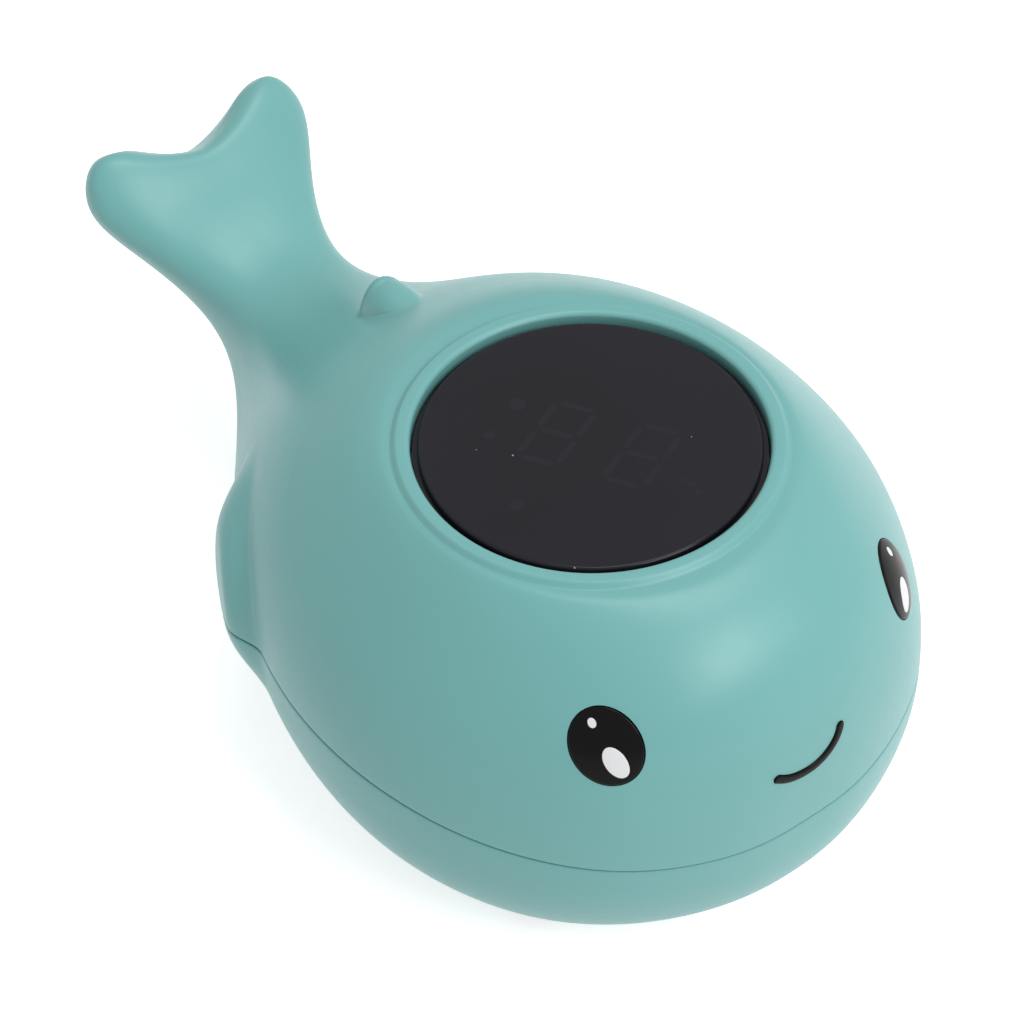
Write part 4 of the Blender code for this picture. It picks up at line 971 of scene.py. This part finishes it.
@dataclass
class DisplayRim:
    """Raised collar round the window, its inner wall and the ledge that carries the window."""

    skin: Skin
    rise: float = 0.65
    opening_radius: float = 19.9
    edge_radius: float = 0.6
    crest_radius: float = 21.4
    foot_radius: float = 22.2
    skirt_radius: float = 22.3
    lift: float = 0.004
    ledge_radius: float = 16.8
    ledge_top: float = 43.3
    ledge_thickness: float = 1.6
    ledge_setback: float = 0.4
    wall: float = 1.6
    wall_bottom: float = 38.0
    skirt_depth: float = 0.4
    flank_steps: int = 15
    edge_steps: int = 12
    sharp_degrees: float = 40.0
    well_radius: float = 20.9
    well_bottom: float = 30.0
    well_top: float = 60.0

    def cutter(self) -> bpy.types.Object:
        """Round well in the upper shell that the collar's wall lines."""
        return round_cutter("window_well", 0.0, 0.0, self.well_radius, self.well_bottom,
                            self.well_top)

    def build(self) -> bpy.types.Object:
        """Turned collar: flat skirt, S-shaped flank, rounded inner edge, inner wall and ledge.

        The flank's height is the rise times one minus a smooth step from the crest's radius to
        the foot's.

        Returns:
            The closed collar.
        """
        foot = self.skin.plateau_z + self.lift
        top = self.skin.plateau_z + self.rise
        hem = foot - self.skirt_depth
        profile = [(self.skirt_radius, hem), (self.skirt_radius, foot)]
        share = np.linspace(1.0, 0.0, self.flank_steps)
        radius = self.crest_radius + share * (self.foot_radius - self.crest_radius)
        height = foot + (top - foot) * (1.0 - smoothstep(share))
        profile += list(zip(radius.tolist(), height.tolist()))
        profile += fillet((self.opening_radius + self.edge_radius, top - self.edge_radius),
                          90, 180, self.edge_radius, self.edge_steps)
        low = self.ledge_top - self.ledge_thickness
        inner = self.opening_radius + self.ledge_setback
        outer = self.opening_radius + self.wall
        profile += [(self.opening_radius, self.ledge_top), (self.ledge_radius, self.ledge_top),
                    (self.ledge_radius, low), (inner, low), (inner, self.wall_bottom),
                    (outer, self.wall_bottom), (outer, hem), (self.skirt_radius, hem)]
        rim = polar_object("display_rim", turned_rings(profile, 256), merge=0.001)
        rim.data.set_sharp_from_angle(angle=math.radians(self.sharp_degrees))
        return rim


@dataclass
class Window:
    """Smoked round window with a chamfered edge and the unlit figures' ghost under it."""

    radius: float = 19.1
    flange_radius: float = 19.65
    top: float = 46.7
    face: float = 0.9
    bottom: float = 44.7
    chamfer: float = 0.35
    row_turn: float = 31.0
    digit_pitch: float = 10.0
    digit_shift: float = 1.1
    bar_half: float = 2.3
    bar_reach: float = 1.45
    bar_width: float = 0.36
    slant: float = 8.0
    ghost_fade: float = 0.12
    sharp_degrees: float = 30.0
    dots: tuple[tuple[float, float, float], ...] = (
        (-9.55, 2.75, 0.9), (-10.8, -2.8, 0.7), (-4.15, -11.85, 0.8), (12.6, -2.3, 0.5),
        (13.6, -3.0, 0.45), (11.6, -1.9, 0.45))

    def ghost(self, points: np.ndarray) -> np.ndarray:
        """Strength of the figures' ghost: one on a bar or dot, fading over a tenth of a
        millimetre.

        The place is turned into distances along and across the row of figures; a bar is the set
        of points within half its width of a line, and a dot those within its radius.

        Args:
            points: Positions on the window's face.

        Returns:
            Values from 0 to 1.
        """
        turn = math.radians(self.row_turn)
        along = points[..., 0] * math.sin(turn) - points[..., 1] * math.cos(turn)
        across = points[..., 0] * math.cos(turn) + points[..., 1] * math.sin(turn)
        best = np.full(along.shape, np.inf)
        lean = math.tan(math.radians(self.slant))
        for digit in (-0.5, 0.5):
            a = along - self.digit_shift - digit * self.digit_pitch - lean * across
            for level in (-2.0, 0.0, 2.0):
                b = across - level * self.bar_half
                away = np.hypot(np.maximum(np.abs(a) - self.bar_reach, 0.0), b)
                best = np.minimum(best, away - self.bar_width)
            for column in (-1.0, 1.0):
                for row in (-1.0, 1.0):
                    b = across - row * self.bar_half
                    away = np.hypot(a - column * self.bar_half,
                                    np.maximum(np.abs(b) - self.bar_reach, 0.0))
                    best = np.minimum(best, away - self.bar_width)
        for spot_along, spot_across, radius in self.dots:
            away = np.hypot(along - spot_along, across - spot_across)
            best = np.minimum(best, away - radius)
        return 1.0 - smoothstep(best / self.ghost_fade + 0.5)

    def build(self) -> bpy.types.Object:
        """Turned window whose flat face is a dense polar grid carrying the ghost attribute.

        Returns:
            The closed window.
        """
        flat = [(r, self.top) for r in np.linspace(0.0, self.radius - self.chamfer, 130)]
        step = self.top - self.face
        edge = [(self.radius - 0.6 * self.chamfer, self.top - 0.12 * self.chamfer),
                (self.radius - 0.15 * self.chamfer, self.top - 0.55 * self.chamfer),
                (self.radius, self.top - self.chamfer), (self.radius, step),
                (self.flange_radius, step), (self.flange_radius, self.bottom),
                (0.0, self.bottom)]
        rings = turned_rings(flat + edge, 300)
        window = polar_object("window_dress", rings, merge=0.0005)
        window.data.set_sharp_from_angle(angle=math.radians(self.sharp_degrees))
        count = len(window.data.vertices)
        place = np.empty(count * 3)
        window.data.vertices.foreach_get("co", place)
        place = place.reshape(-1, 3) / MM - np.array([0.0, DISPLAY_Y, 0.0])
        ghost = self.ghost(place) * (place[:, 2] > self.top - 0.01)
        layer = window.data.attributes.new("figures", "FLOAT", "POINT")
        layer.data.foreach_set("value", ghost.astype(np.float32))
        return window


@dataclass
class Eye:
    """Domed oval inlay in a shallow recess, with two white oval glints lying on its dome."""

    skin: Skin
    side: Side
    x: float = 20.65
    z: float = 35.85
    long_radius: float = 4.62
    short_radius: float = 3.93
    turn: float = -55.0
    recess_gap: float = 0.1
    recess_depth: float = 1.5
    recess_top: float = 3.0
    dome: float = 0.28
    proud: float = 0.12
    rounding: tuple[tuple[float, float], ...] = (
        (0.975, -0.02), (0.99, -0.07), (1.0, -0.16), (1.0, -0.4), (1.0, -1.0), (0.0, -1.0))
    glint_rise: float = 0.035
    glint_rounding: tuple[tuple[float, float], ...] = ((0.97, 0.03), (1.0, 0.015), (1.0, -0.05))
    glints: tuple[tuple[str, float, float, float, float], ...] = (
        ("large", 1.2, -1.55, 2.0, 1.2), ("small", -1.7, 2.6, 0.56, 0.45))
    start: tuple[float, float] = field(init=False)
    origin: np.ndarray = field(init=False)
    axes: np.ndarray = field(init=False)
    normal: np.ndarray = field(init=False)

    def __post_init__(self) -> None:
        """Find the eye's place on the skin, its normal and its level and upward axes."""
        target = np.array([self.side.value * self.x, self.z])
        s, t = self.skin.find(self.skin.nearest(*target), FRONT_AXES, np.zeros(3), target)
        self.start = (float(s), float(t))
        self.origin = self.skin.points(s, t)
        self.normal = self.skin.normals(s, t)
        level = np.cross(self.normal, [0.0, 0.0, 1.0])
        level /= np.linalg.norm(level)
        level *= -np.sign(level[1])
        up = np.cross(level, self.normal)
        up *= np.sign(up[2])
        self.axes = np.stack([level, up])

    def oval(self, share: np.ndarray, angle: np.ndarray, long: float, short: float,
             centre: tuple[float, float] = (0.0, 0.0)) -> np.ndarray:
        """Tangent-plane coordinates of points in an oval, its long axis turned like the eye's.

        Args:
            share: Distance from the centre as a share of the oval.
            angle: Angle round the oval.
            long: Long radius.
            short: Short radius.
            centre: Centre of the oval, along the level and upward axes.

        Returns:
            Coordinates, last axis level and up.
        """
        turn = math.radians(self.turn)
        a, b = share * long * np.cos(angle), share * short * np.sin(angle)
        return np.stack([centre[0] + a * math.cos(turn) - b * math.sin(turn),
                         centre[1] + a * math.sin(turn) + b * math.cos(turn)], -1)

    def on_skin(self, place: np.ndarray) -> np.ndarray:
        """Skin points whose tangent-plane coordinates are given."""
        found = self.skin.find(self.start, self.axes, self.origin, place)
        return self.skin.points(found[..., 0], found[..., 1])

    def crown(self, place: np.ndarray) -> np.ndarray:
        """Height of the dome over the skin, a flat parabola.

        Args:
            place: Tangent-plane coordinates.

        Returns:
            Heights in millimetres.
        """
        turn = math.radians(self.turn)
        a = place[..., 0] * math.cos(turn) + place[..., 1] * math.sin(turn)
        b = place[..., 1] * math.cos(turn) - place[..., 0] * math.sin(turn)
        reach = (a / self.long_radius) ** 2 + (b / self.short_radius) ** 2
        return self.proud + self.dome * (1.0 - reach)

    def cutter(self) -> bpy.types.Object:
        """Oval prism along the eye's normal that sinks the recess into the skin.

        Returns:
            The closed cutter.
        """
        angle = turns(96)
        rings = []
        for share, lift in ((0.0, self.recess_top), (1.0, self.recess_top),
                            (1.0, -self.recess_depth), (0.0, -self.recess_depth)):
            place = self.oval(np.full(angle.shape, share), angle,
                              self.long_radius + self.recess_gap,
                              self.short_radius + self.recess_gap)
            rings.append(self.origin + place @ self.axes + lift * self.normal)
        return polar_object("recess_" + self.side.name.lower(), np.array(rings), merge=0.001)

    def domed(self, place: np.ndarray, lift: np.ndarray) -> np.ndarray:
        """Rings on the skin, lifted by the dome's crown and by each ring's own lift.

        Args:
            place: Tangent-plane coordinates, shape (rings, around, 2).
            lift: Height over the dome of each ring.

        Returns:
            Positions, shape (rings, around, 3).
        """
        height = self.crown(place) + lift[:, None]
        return self.on_skin(place) + height[..., None] * self.normal

    def inlay(self) -> bpy.types.Object:
        """Dome: rings of the oval on the skin, lifted by the crown, then a rounded edge.

        Returns:
            The closed inlay.
        """
        edge_share, edge_lift = np.array(self.rounding).T
        share = np.concatenate([np.linspace(0.0, 0.955, 26), edge_share])
        lift = np.concatenate([np.zeros(26), edge_lift])
        r, a = np.meshgrid(share, turns(128), indexing="ij")
        rings = self.domed(self.oval(r, a, self.long_radius, self.short_radius), lift)
        return polar_object("eye_%s_dress" % self.side.name.lower(), rings, merge=0.0008)

    def glint(self, label: str, level: float, up: float, long: float,
              short: float) -> bpy.types.Object:
        """Thin white oval on the dome with a soft edge.

        Args:
            label: Name of the glint's size.
            level: Offset along the level axis.
            up: Offset along the upward axis.
            long: Long radius.
            short: Short radius.

        Returns:
            The glint's object.
        """
        edge_share, edge_lift = np.array(self.glint_rounding).T
        share = np.concatenate([np.linspace(0.0, 0.93, 10), edge_share])
        lift = np.concatenate([np.full(10, self.glint_rise), edge_lift])
        r, a = np.meshgrid(share, turns(72), indexing="ij")
        rings = self.domed(self.oval(r, a, long, short, (level, up)), lift)
        closing = np.broadcast_to(rings[-1].mean(axis=0), rings[-1].shape)[None]
        return polar_object("eye_%s_glint_%s_dress" % (self.side.name.lower(), label),
                            np.concatenate([rings, closing]), merge=0.0008)

    def dress(self) -> None:
        """Build the inlay and its glints and put them in place of their CAD nodes."""
        name = "eye_" + self.side.name.lower()
        register(self.inlay(), PUPIL, "gloss_black", name)
        for label, level, up, long, short in self.glints:
            register(self.glint(label, level, up, long, short), GLINT, "white_plastic",
                     "%s_glint_%s" % (name, label))


@dataclass
class Mouth:
    """Slim black smile lying in the face, a rounded strip along a path on the skin."""

    skin: Skin
    path: tuple[tuple[float, float], ...] = (
        (-4.9, 27.9), (-3.6, 27.0), (-2.0, 26.5), (0.3, 26.3), (2.3, 27.0), (3.7, 28.1),
        (4.45, 29.2), (4.7, 30.2))
    half_width: float = 0.53
    groove_gap: float = 0.07
    groove_depth: float = 0.6
    proud: float = 0.26
    sunk: float = 0.5
    side_power: float = 0.7
    crown_power: float = 0.6
    middle: tuple[float, float] = (0.2, 27.0)

    def centre_line(self, count: int) -> tuple[np.ndarray, np.ndarray]:
        """Smooth path on the skin and the skin's normals along it.

        Args:
            count: Number of points.

        Returns:
            Points and unit normals.
        """
        stations = np.array(self.path, float)
        fine = self.skin.spline(stations, np.linspace(0.0, len(stations) - 1.0, count))
        rough = self.skin.nearest(*self.middle)
        found = self.skin.find(rough, FRONT_AXES, np.zeros(3), fine)
        return (self.skin.points(found[:, 0], found[:, 1]),
                self.skin.normals(found[:, 0], found[:, 1]))

    def strip(self, name: str, half_width: float, profile: list[tuple[float, float]],
              spare: float) -> bpy.types.Object:
        """Section swept along the path and drawn in to round ends.

        Args:
            name: Name of the object.
            half_width: Half the strip's width.
            profile: Section as shares of the half width and heights over the skin.
            spare: Length by which the strip runs past the path's ends.

        Returns:
            The closed strip.
        """
        centre, normal = self.centre_line(90)
        tangent = np.gradient(centre, axis=0)
        tangent /= np.linalg.norm(tangent, axis=-1, keepdims=True)
        across = np.cross(tangent, normal)
        run = np.concatenate([[0.0], np.cumsum(np.linalg.norm(np.diff(centre, axis=0), axis=1))])
        middle = 0.5 * run[-1]
        centre = centre + spare * ((run - middle) / middle)[:, None] * tangent
        near_end = np.minimum(run, run[-1] - run) * (1.0 + spare / middle)
        inward = (1.0 - near_end / half_width).clip(0.0, 1.0)
        width = half_width * np.sqrt(1.0 - inward ** 2)
        side, lift = np.array(profile, float).T
        rings = (centre[:, None] + (width[:, None] * side)[..., None] * across[:, None]
                 + np.broadcast_to(lift, (len(run), len(side)))[..., None] * normal[:, None])
        return polar_object(name, rings, merge=0.0006)

    def build(self) -> bpy.types.Object:
        """Strip with a gently domed face and rounded upper edges.

        The face's section is a superellipse: the sign of cos a times |cos a|^side_power across,
        and proud * (sin a)^crown_power upwards.

        Returns:
            The closed strip.
        """
        angle = np.linspace(0.0, math.pi, 15)
        side = np.sign(np.cos(angle)) * np.abs(np.cos(angle)) ** self.side_power
        lift = self.proud * np.sin(angle) ** self.crown_power
        dome = list(zip(side.tolist(), lift.tolist()))
        return self.strip("mouth_dress", self.half_width,
                          dome + [(-1.0, -self.sunk), (1.0, -self.sunk)], 0.0)

    def cutter(self) -> bpy.types.Object:
        """Groove that the strip lies in, a little wider than the strip."""
        profile = [(1.0, 1.0), (-1.0, 1.0), (-1.0, -self.groove_depth), (1.0, -self.groove_depth)]
        return self.strip("mouth_groove", self.half_width + self.groove_gap, profile,
                          self.groove_gap)


@dataclass
class Fin:
    """Dorsal fin: a plump nub, steep behind, that flows into the back through a fillet."""

    skin: Skin
    x: float = 1.0
    y: float = 39.0
    half_width: float = 3.35
    front: float = 5.4
    rear: float = 2.65
    height: float = 3.75
    rear_bias: float = 0.75
    roundness: float = 2.12
    edge_power: float = 0.68
    foot: float = 0.16
    foot_power: float = 2.6
    skirt: float = 1.28
    hem_drop: float = 0.03
    hem_power: float = 8.0
    start: tuple[float, float] = (7.0, 0.5 * math.pi)

    def build(self) -> bpy.types.Object:
        """Polar grid over the back, lifted straight up.

        Inside the base oval the lift is height * (1 - r^roundness)^edge_power, more towards the
        rear; a fillet is added that grows inwards from the skirt, where it lies just under the
        skin. r is the share of the base oval.

        Returns:
            The fin's sheet, open under the skin.
        """
        inner = 1.0 - np.linspace(1.0, 0.0, 46) ** 1.8
        outer = 1.0 + (self.skirt - 1.0) * np.linspace(0.0, 1.0, 16)[1:]
        r, a = np.meshgrid(np.concatenate([inner, outer]), turns(144), indexing="ij")
        reach = np.where(np.sin(a) > 0, self.rear, self.front)
        place = np.stack([self.x + r * self.half_width * np.cos(a),
                          self.y + r * reach * np.sin(a)], -1)
        found = self.skin.find(self.start, TOP_AXES, np.zeros(3), place)
        points = self.skin.points(found[..., 0], found[..., 1])
        bias = 1.0 + self.rear_bias * r * np.sin(a)
        body = self.height * bias * np.clip(1.0 - r ** self.roundness, 0.0, 1.0) ** self.edge_power
        near = np.clip((self.skirt - np.maximum(r, 1.0)) / (self.skirt - 1.0), 0.0, 1.0)
        flow = self.foot * near ** self.foot_power
        hem = self.hem_drop * np.clip(r, 0.0, 1.0) ** self.hem_power
        lift = np.sqrt(body ** 2 + flow ** 2) - hem
        points = points + lift[..., None] * np.array([0.0, 0.0, 1.0])
        return polar_object("dorsal_fin", points, merge=0.0008)


@dataclass
class Underside:
    """Openings in the belly: battery door, screw wells, probe hole and contact holes."""

    fit: float = 0.3
    below: float = -5.0
    door_top: float = 7.5
    door_corner: float = 1.2
    tongue_half_width: float = 5.0
    tongue_length: float = 5.5
    screw_well_top: float = 14.0
    pin_hole_top: float = 5.0
    probe_radius: float = 3.0
    probe_hole_top: float = 6.0

    def prism(self, name: str, outline: list[tuple[float, float]], low: float,
              high: float) -> bpy.types.Object:
        """Upright prism over an outline.

        Args:
            name: Name of the cutter.
            outline: Corners in the plane.
            low: Height of its bottom.
            high: Height of its top.

        Returns:
            The cutter.
        """
        count = len(outline)
        points = [(x, y, z) for z in (low, high) for x, y in outline]
        faces = [tuple(range(count)), tuple(range(2 * count - 1, count - 1, -1))]
        faces += [(k, (k + 1) % count, count + (k + 1) % count, count + k) for k in range(count)]
        return mesh_object(name, np.array(points), faces)

    def box(self, node: str) -> np.ndarray:
        """Lowest and highest corner of a CAD piece in design millimetres."""
        return np.array(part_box(node)) / MM - np.array([0.0, DISPLAY_Y, 0.0])

    def hole(self, node: str, high: float, radius: float = 0.0) -> bpy.types.Object:
        """Round cutter about a CAD piece's axis.

        Args:
            node: Name of the CAD piece.
            high: Height of the hole's end.
            radius: Radius of the hole; 0 stands for a fit wider than the piece.

        Returns:
            The cutter.
        """
        low, top = self.box(node)
        middle = 0.5 * (low + top)
        return round_cutter("hole_" + node, middle[0], middle[1],
                            radius or 0.5 * (top[0] - low[0]) + self.fit, self.below, high)

    def door_opening(self) -> bpy.types.Object:
        """Cutter of the door's outline: a rounded panel with a narrow tongue towards the nose.

        Returns:
            The cutter, a fit wider than the door.
        """
        low, high = self.box("battery_door")
        corner = self.door_corner
        wide, narrow = high[0] + self.fit, self.tongue_half_width + self.fit
        tip, rear = low[1] - self.fit, high[1] + self.fit
        front = tip + self.tongue_length
        right = [(-wide, rear - corner), (-wide, front + 2 * corner),
                 (corner - wide, front + corner), (-narrow, front), (-narrow, tip + corner),
                 (corner - narrow, tip)]
        left = [(-x, y) for x, y in reversed(right)]
        outline = right + left + [(wide - corner, rear), (corner - wide, rear)]
        return self.prism("door_opening", outline, self.below, self.door_top)

    def cutters(self) -> list[bpy.types.Object]:
        """Every cutter of the lower shell, sized from the CAD pieces that sit in the holes.

        Returns:
            The cutters.
        """
        found = [self.door_opening()]
        for place in ("front_right", "front_left", "rear_right", "rear_left"):
            found.append(self.hole("shell_screw_" + place, self.screw_well_top))
        for place in ("front", "rear"):
            found.append(self.hole("water_contact_" + place, self.pin_hole_top))
        found.append(self.hole("probe_cap", self.probe_hole_top, self.probe_radius))
        return found


NODE_FINISHES: dict[str, Finish] = {
    "battery_door": TEAL, "lens_gasket": FOAM, "shell_seal": CORD, "door_seal": CORD,
    "main_pcb": BOARD, "controller_chip": EPOXY, "filter_capacitor": EPOXY, "led_module": EPOXY,
    "thermistor": EPOXY, "digit_segments": FILM, "status_led_hot": HOT, "status_led_cool": COOL,
    "battery_1": WRAP, "battery_2": WRAP, "contact_bridge": NICKEL, "contact_positive": NICKEL,
    "contact_negative": NICKEL, "battery_lead_red": RED_LEAD, "battery_lead_black": BLACK_LEAD,
    "probe_lead_1": BLACK_LEAD, "probe_lead_2": BLACK_LEAD, "upper_shell": TEAL,
    "lower_shell": TEAL, "display_lens": SMOKED, "eye_right": PUPIL, "eye_left": PUPIL,
    "mouth_inlay": PUPIL,
}


def dress_nodes() -> None:
    """Give every CAD node its finish; screws, springs, probe and pins are steel."""
    for name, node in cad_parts.items():
        finish = NODE_FINISHES.get(name, GLINT if "glint" in name else STEEL)
        finish.on(node)
        LOG.info("%s: %s", name, finish.name)


# Studio


@dataclass
class Studio:
    """Plain pale floor, white surround, soft lamps and the camera of the photograph."""

    azimuth: float = -39.6
    elevation: float = 45.26
    roll: float = -0.47
    distance: float = 458.14
    focal_pixels: float = 4167.4
    aim: tuple[float, float] = (-8.54, -8.2)
    rim_top: float = 47.3
    sensor_width: float = 36.0
    photo_pixels: float = 1024.0
    world_light: float = 0.5
    floor_half: float = 3.0
    floor_drop: float = 0.0002
    floor_shade: float = 0.8
    floor_roughness: float = 0.8
    floor_lift: float = 0.66
    lamp_aim: tuple[float, float, float] = (0.0, 0.0, 0.02)
    lamps: tuple[tuple[str, tuple[float, float, float], float, float], ...] = (
        ("overhead", (0.2, -0.05, 0.95), 0.5, 2.9), ("front_key", (0.14, -0.75, 0.66), 0.5, 4.0))

    def axes(self) -> tuple[Vector, Vector, Vector]:
        """Directions of the view at the photograph's angles.

        Returns:
            Right, up and back.
        """
        a, e = math.radians(self.azimuth), math.radians(self.elevation)
        back = Vector((math.sin(a) * math.cos(e), -math.cos(a) * math.cos(e), math.sin(e)))
        right = Vector((math.cos(a), math.sin(a), 0.0))
        return right, back.cross(right), back

    def camera(self) -> None:
        """Camera at the fitted place, turned slightly so that the object sits as in the photo."""
        right, up, back = self.axes()
        display = Vector((0.0, DISPLAY_Y, self.rim_top)) * MM
        place = display + back * self.distance * MM
        aim = display + (right * self.aim[0] + up * self.aim[1]) * MM
        towards = (place - aim).normalized()
        level = Vector((0, 0, 1)).cross(towards).normalized()
        turn = Matrix((level, towards.cross(level), towards)).transposed()
        roll = Matrix.Rotation(math.radians(self.roll), 3, "Z")
        data = bpy.data.cameras.new("studio_camera")
        data.sensor_width = self.sensor_width
        data.lens = self.sensor_width * self.focal_pixels / self.photo_pixels
        data.clip_start = 0.01
        data.clip_end = 20.0
        camera = bpy.data.objects.new("studio_camera", data)
        camera.matrix_world = Matrix.Translation(place) @ (turn @ roll).to_4x4()
        bpy.context.scene.collection.objects.link(camera)
        bpy.context.scene.camera = camera

    def seen(self, tree: bpy.types.NodeTree) -> bpy.types.NodeSocket:
        """Socket that is 1 for camera and glossy rays and 0 for the rest.

        Args:
            tree: Node tree that gets the nodes.

        Returns:
            The socket.
        """
        path = tree.nodes.new("ShaderNodeLightPath").outputs
        return worked_out(tree, "MAXIMUM", path["Is Camera Ray"], path["Is Glossy Ray"])

    def world(self) -> None:
        """White surround: plain light on the object, full white to camera and mirror rays."""
        world = bpy.data.worlds.new("studio_surround")
        world.use_nodes = True
        bpy.context.scene.world = world
        nodes, links = world.node_tree.nodes, world.node_tree.links
        sky = nodes["Background"]
        sky.inputs["Color"].default_value = (1.0, 1.0, 1.0, 1.0)
        strength = nodes.new("ShaderNodeMapRange")
        strength.inputs["To Min"].default_value = self.world_light
        strength.inputs["To Max"].default_value = 1.0
        links.new(self.seen(world.node_tree), strength.inputs["Value"])
        links.new(strength.outputs["Result"], sky.inputs["Strength"])

    def floor(self) -> None:
        """Broad pale floor, lifted to white for the camera, that takes the shadow.

        Seen from below it is clear, so the underside can be looked at.
        """
        mesh = bpy.data.meshes.new("floor")
        corners = [(x * self.floor_half, y * self.floor_half, -self.floor_drop)
                   for x, y in ((-1, -1), (1, -1), (1, 1), (-1, 1))]
        mesh.from_pydata(corners, [], [(0, 1, 2, 3)])
        floor = bpy.data.objects.new("floor", mesh)
        bpy.context.scene.collection.objects.link(floor)
        material = bpy.data.materials.new("pale_floor")
        material.use_nodes = True
        nodes, links = material.node_tree.nodes, material.node_tree.links
        shader = nodes["Principled BSDF"]
        shader.inputs["Base Color"].default_value = (*[self.floor_shade] * 3, 1.0)
        shader.inputs["Roughness"].default_value = self.floor_roughness
        shader.inputs["Emission Color"].default_value = (1.0, 1.0, 1.0, 1.0)
        lift = worked_out(material.node_tree, "MULTIPLY", self.seen(material.node_tree),
                          self.floor_lift)
        links.new(lift, shader.inputs["Emission Strength"])
        facing = nodes.new("ShaderNodeNewGeometry")
        clear = nodes.new("ShaderNodeBsdfTransparent")
        either = nodes.new("ShaderNodeMixShader")
        links.new(facing.outputs["Backfacing"], either.inputs["Fac"])
        links.new(shader.outputs["BSDF"], either.inputs[1])
        links.new(clear.outputs["BSDF"], either.inputs[2])
        links.new(either.outputs["Shader"], nodes["Material Output"].inputs["Surface"])
        mesh.materials.append(material)

    def lamp(self, name: str, place: tuple[float, float, float], size: float,
             power: float) -> None:
        """Square soft lamp aimed at the object.

        Args:
            name: Name of the lamp.
            place: Position in metres.
            size: Edge length in metres.
            power: Power in watts.
        """
        data = bpy.data.lights.new(name, "AREA")
        data.shape = "SQUARE"
        data.size = size
        data.energy = power
        lamp = bpy.data.objects.new(name, data)
        lamp.location = place
        towards = Vector(place) - Vector(self.lamp_aim)
        lamp.rotation_euler = towards.to_track_quat("Z", "Y").to_euler()
        bpy.context.scene.collection.objects.link(lamp)

    def build(self) -> None:
        """Set the colour view, the camera, the surround, the floor and the lamps."""
        bpy.context.scene.view_settings.view_transform = "Standard"
        self.camera()
        self.world()
        self.floor()
        for name, place, size, power in self.lamps:
            self.lamp(name, place, size, power)


# Assembly


def main() -> None:
    """Build every piece in order and report it."""
    logging.basicConfig(level=logging.INFO, format="%(name)s %(message)s")
    dress_nodes()
    skin = Skin()
    shells = Shells(skin)
    upper = shells.build(True)
    eyes = [Eye(skin, Side.RIGHT), Eye(skin, Side.LEFT, x=20.4, z=35.25)]
    rim = DisplayRim(skin)
    mouth = Mouth(skin)
    cut_with(upper, [rim.cutter(), mouth.cutter()] + [eye.cutter() for eye in eyes])
    register(upper, TEAL, "teal_plastic", "upper_shell")
    lower = shells.build(False)
    cut_with(lower, Underside().cutters())
    register(lower, TEAL, "teal_plastic", "lower_shell")
    register(rim.build(), TEAL, "teal_plastic")
    register(Fin(skin).build(), TEAL, "teal_plastic")
    register(Window().build(), SMOKED, "smoked_acrylic", "display_lens")
    for eye in eyes:
        eye.dress()
    register(mouth.build(), PUPIL, "gloss_black", "mouth_inlay")
    Studio().build()


if __name__ == "__main__":
    main()
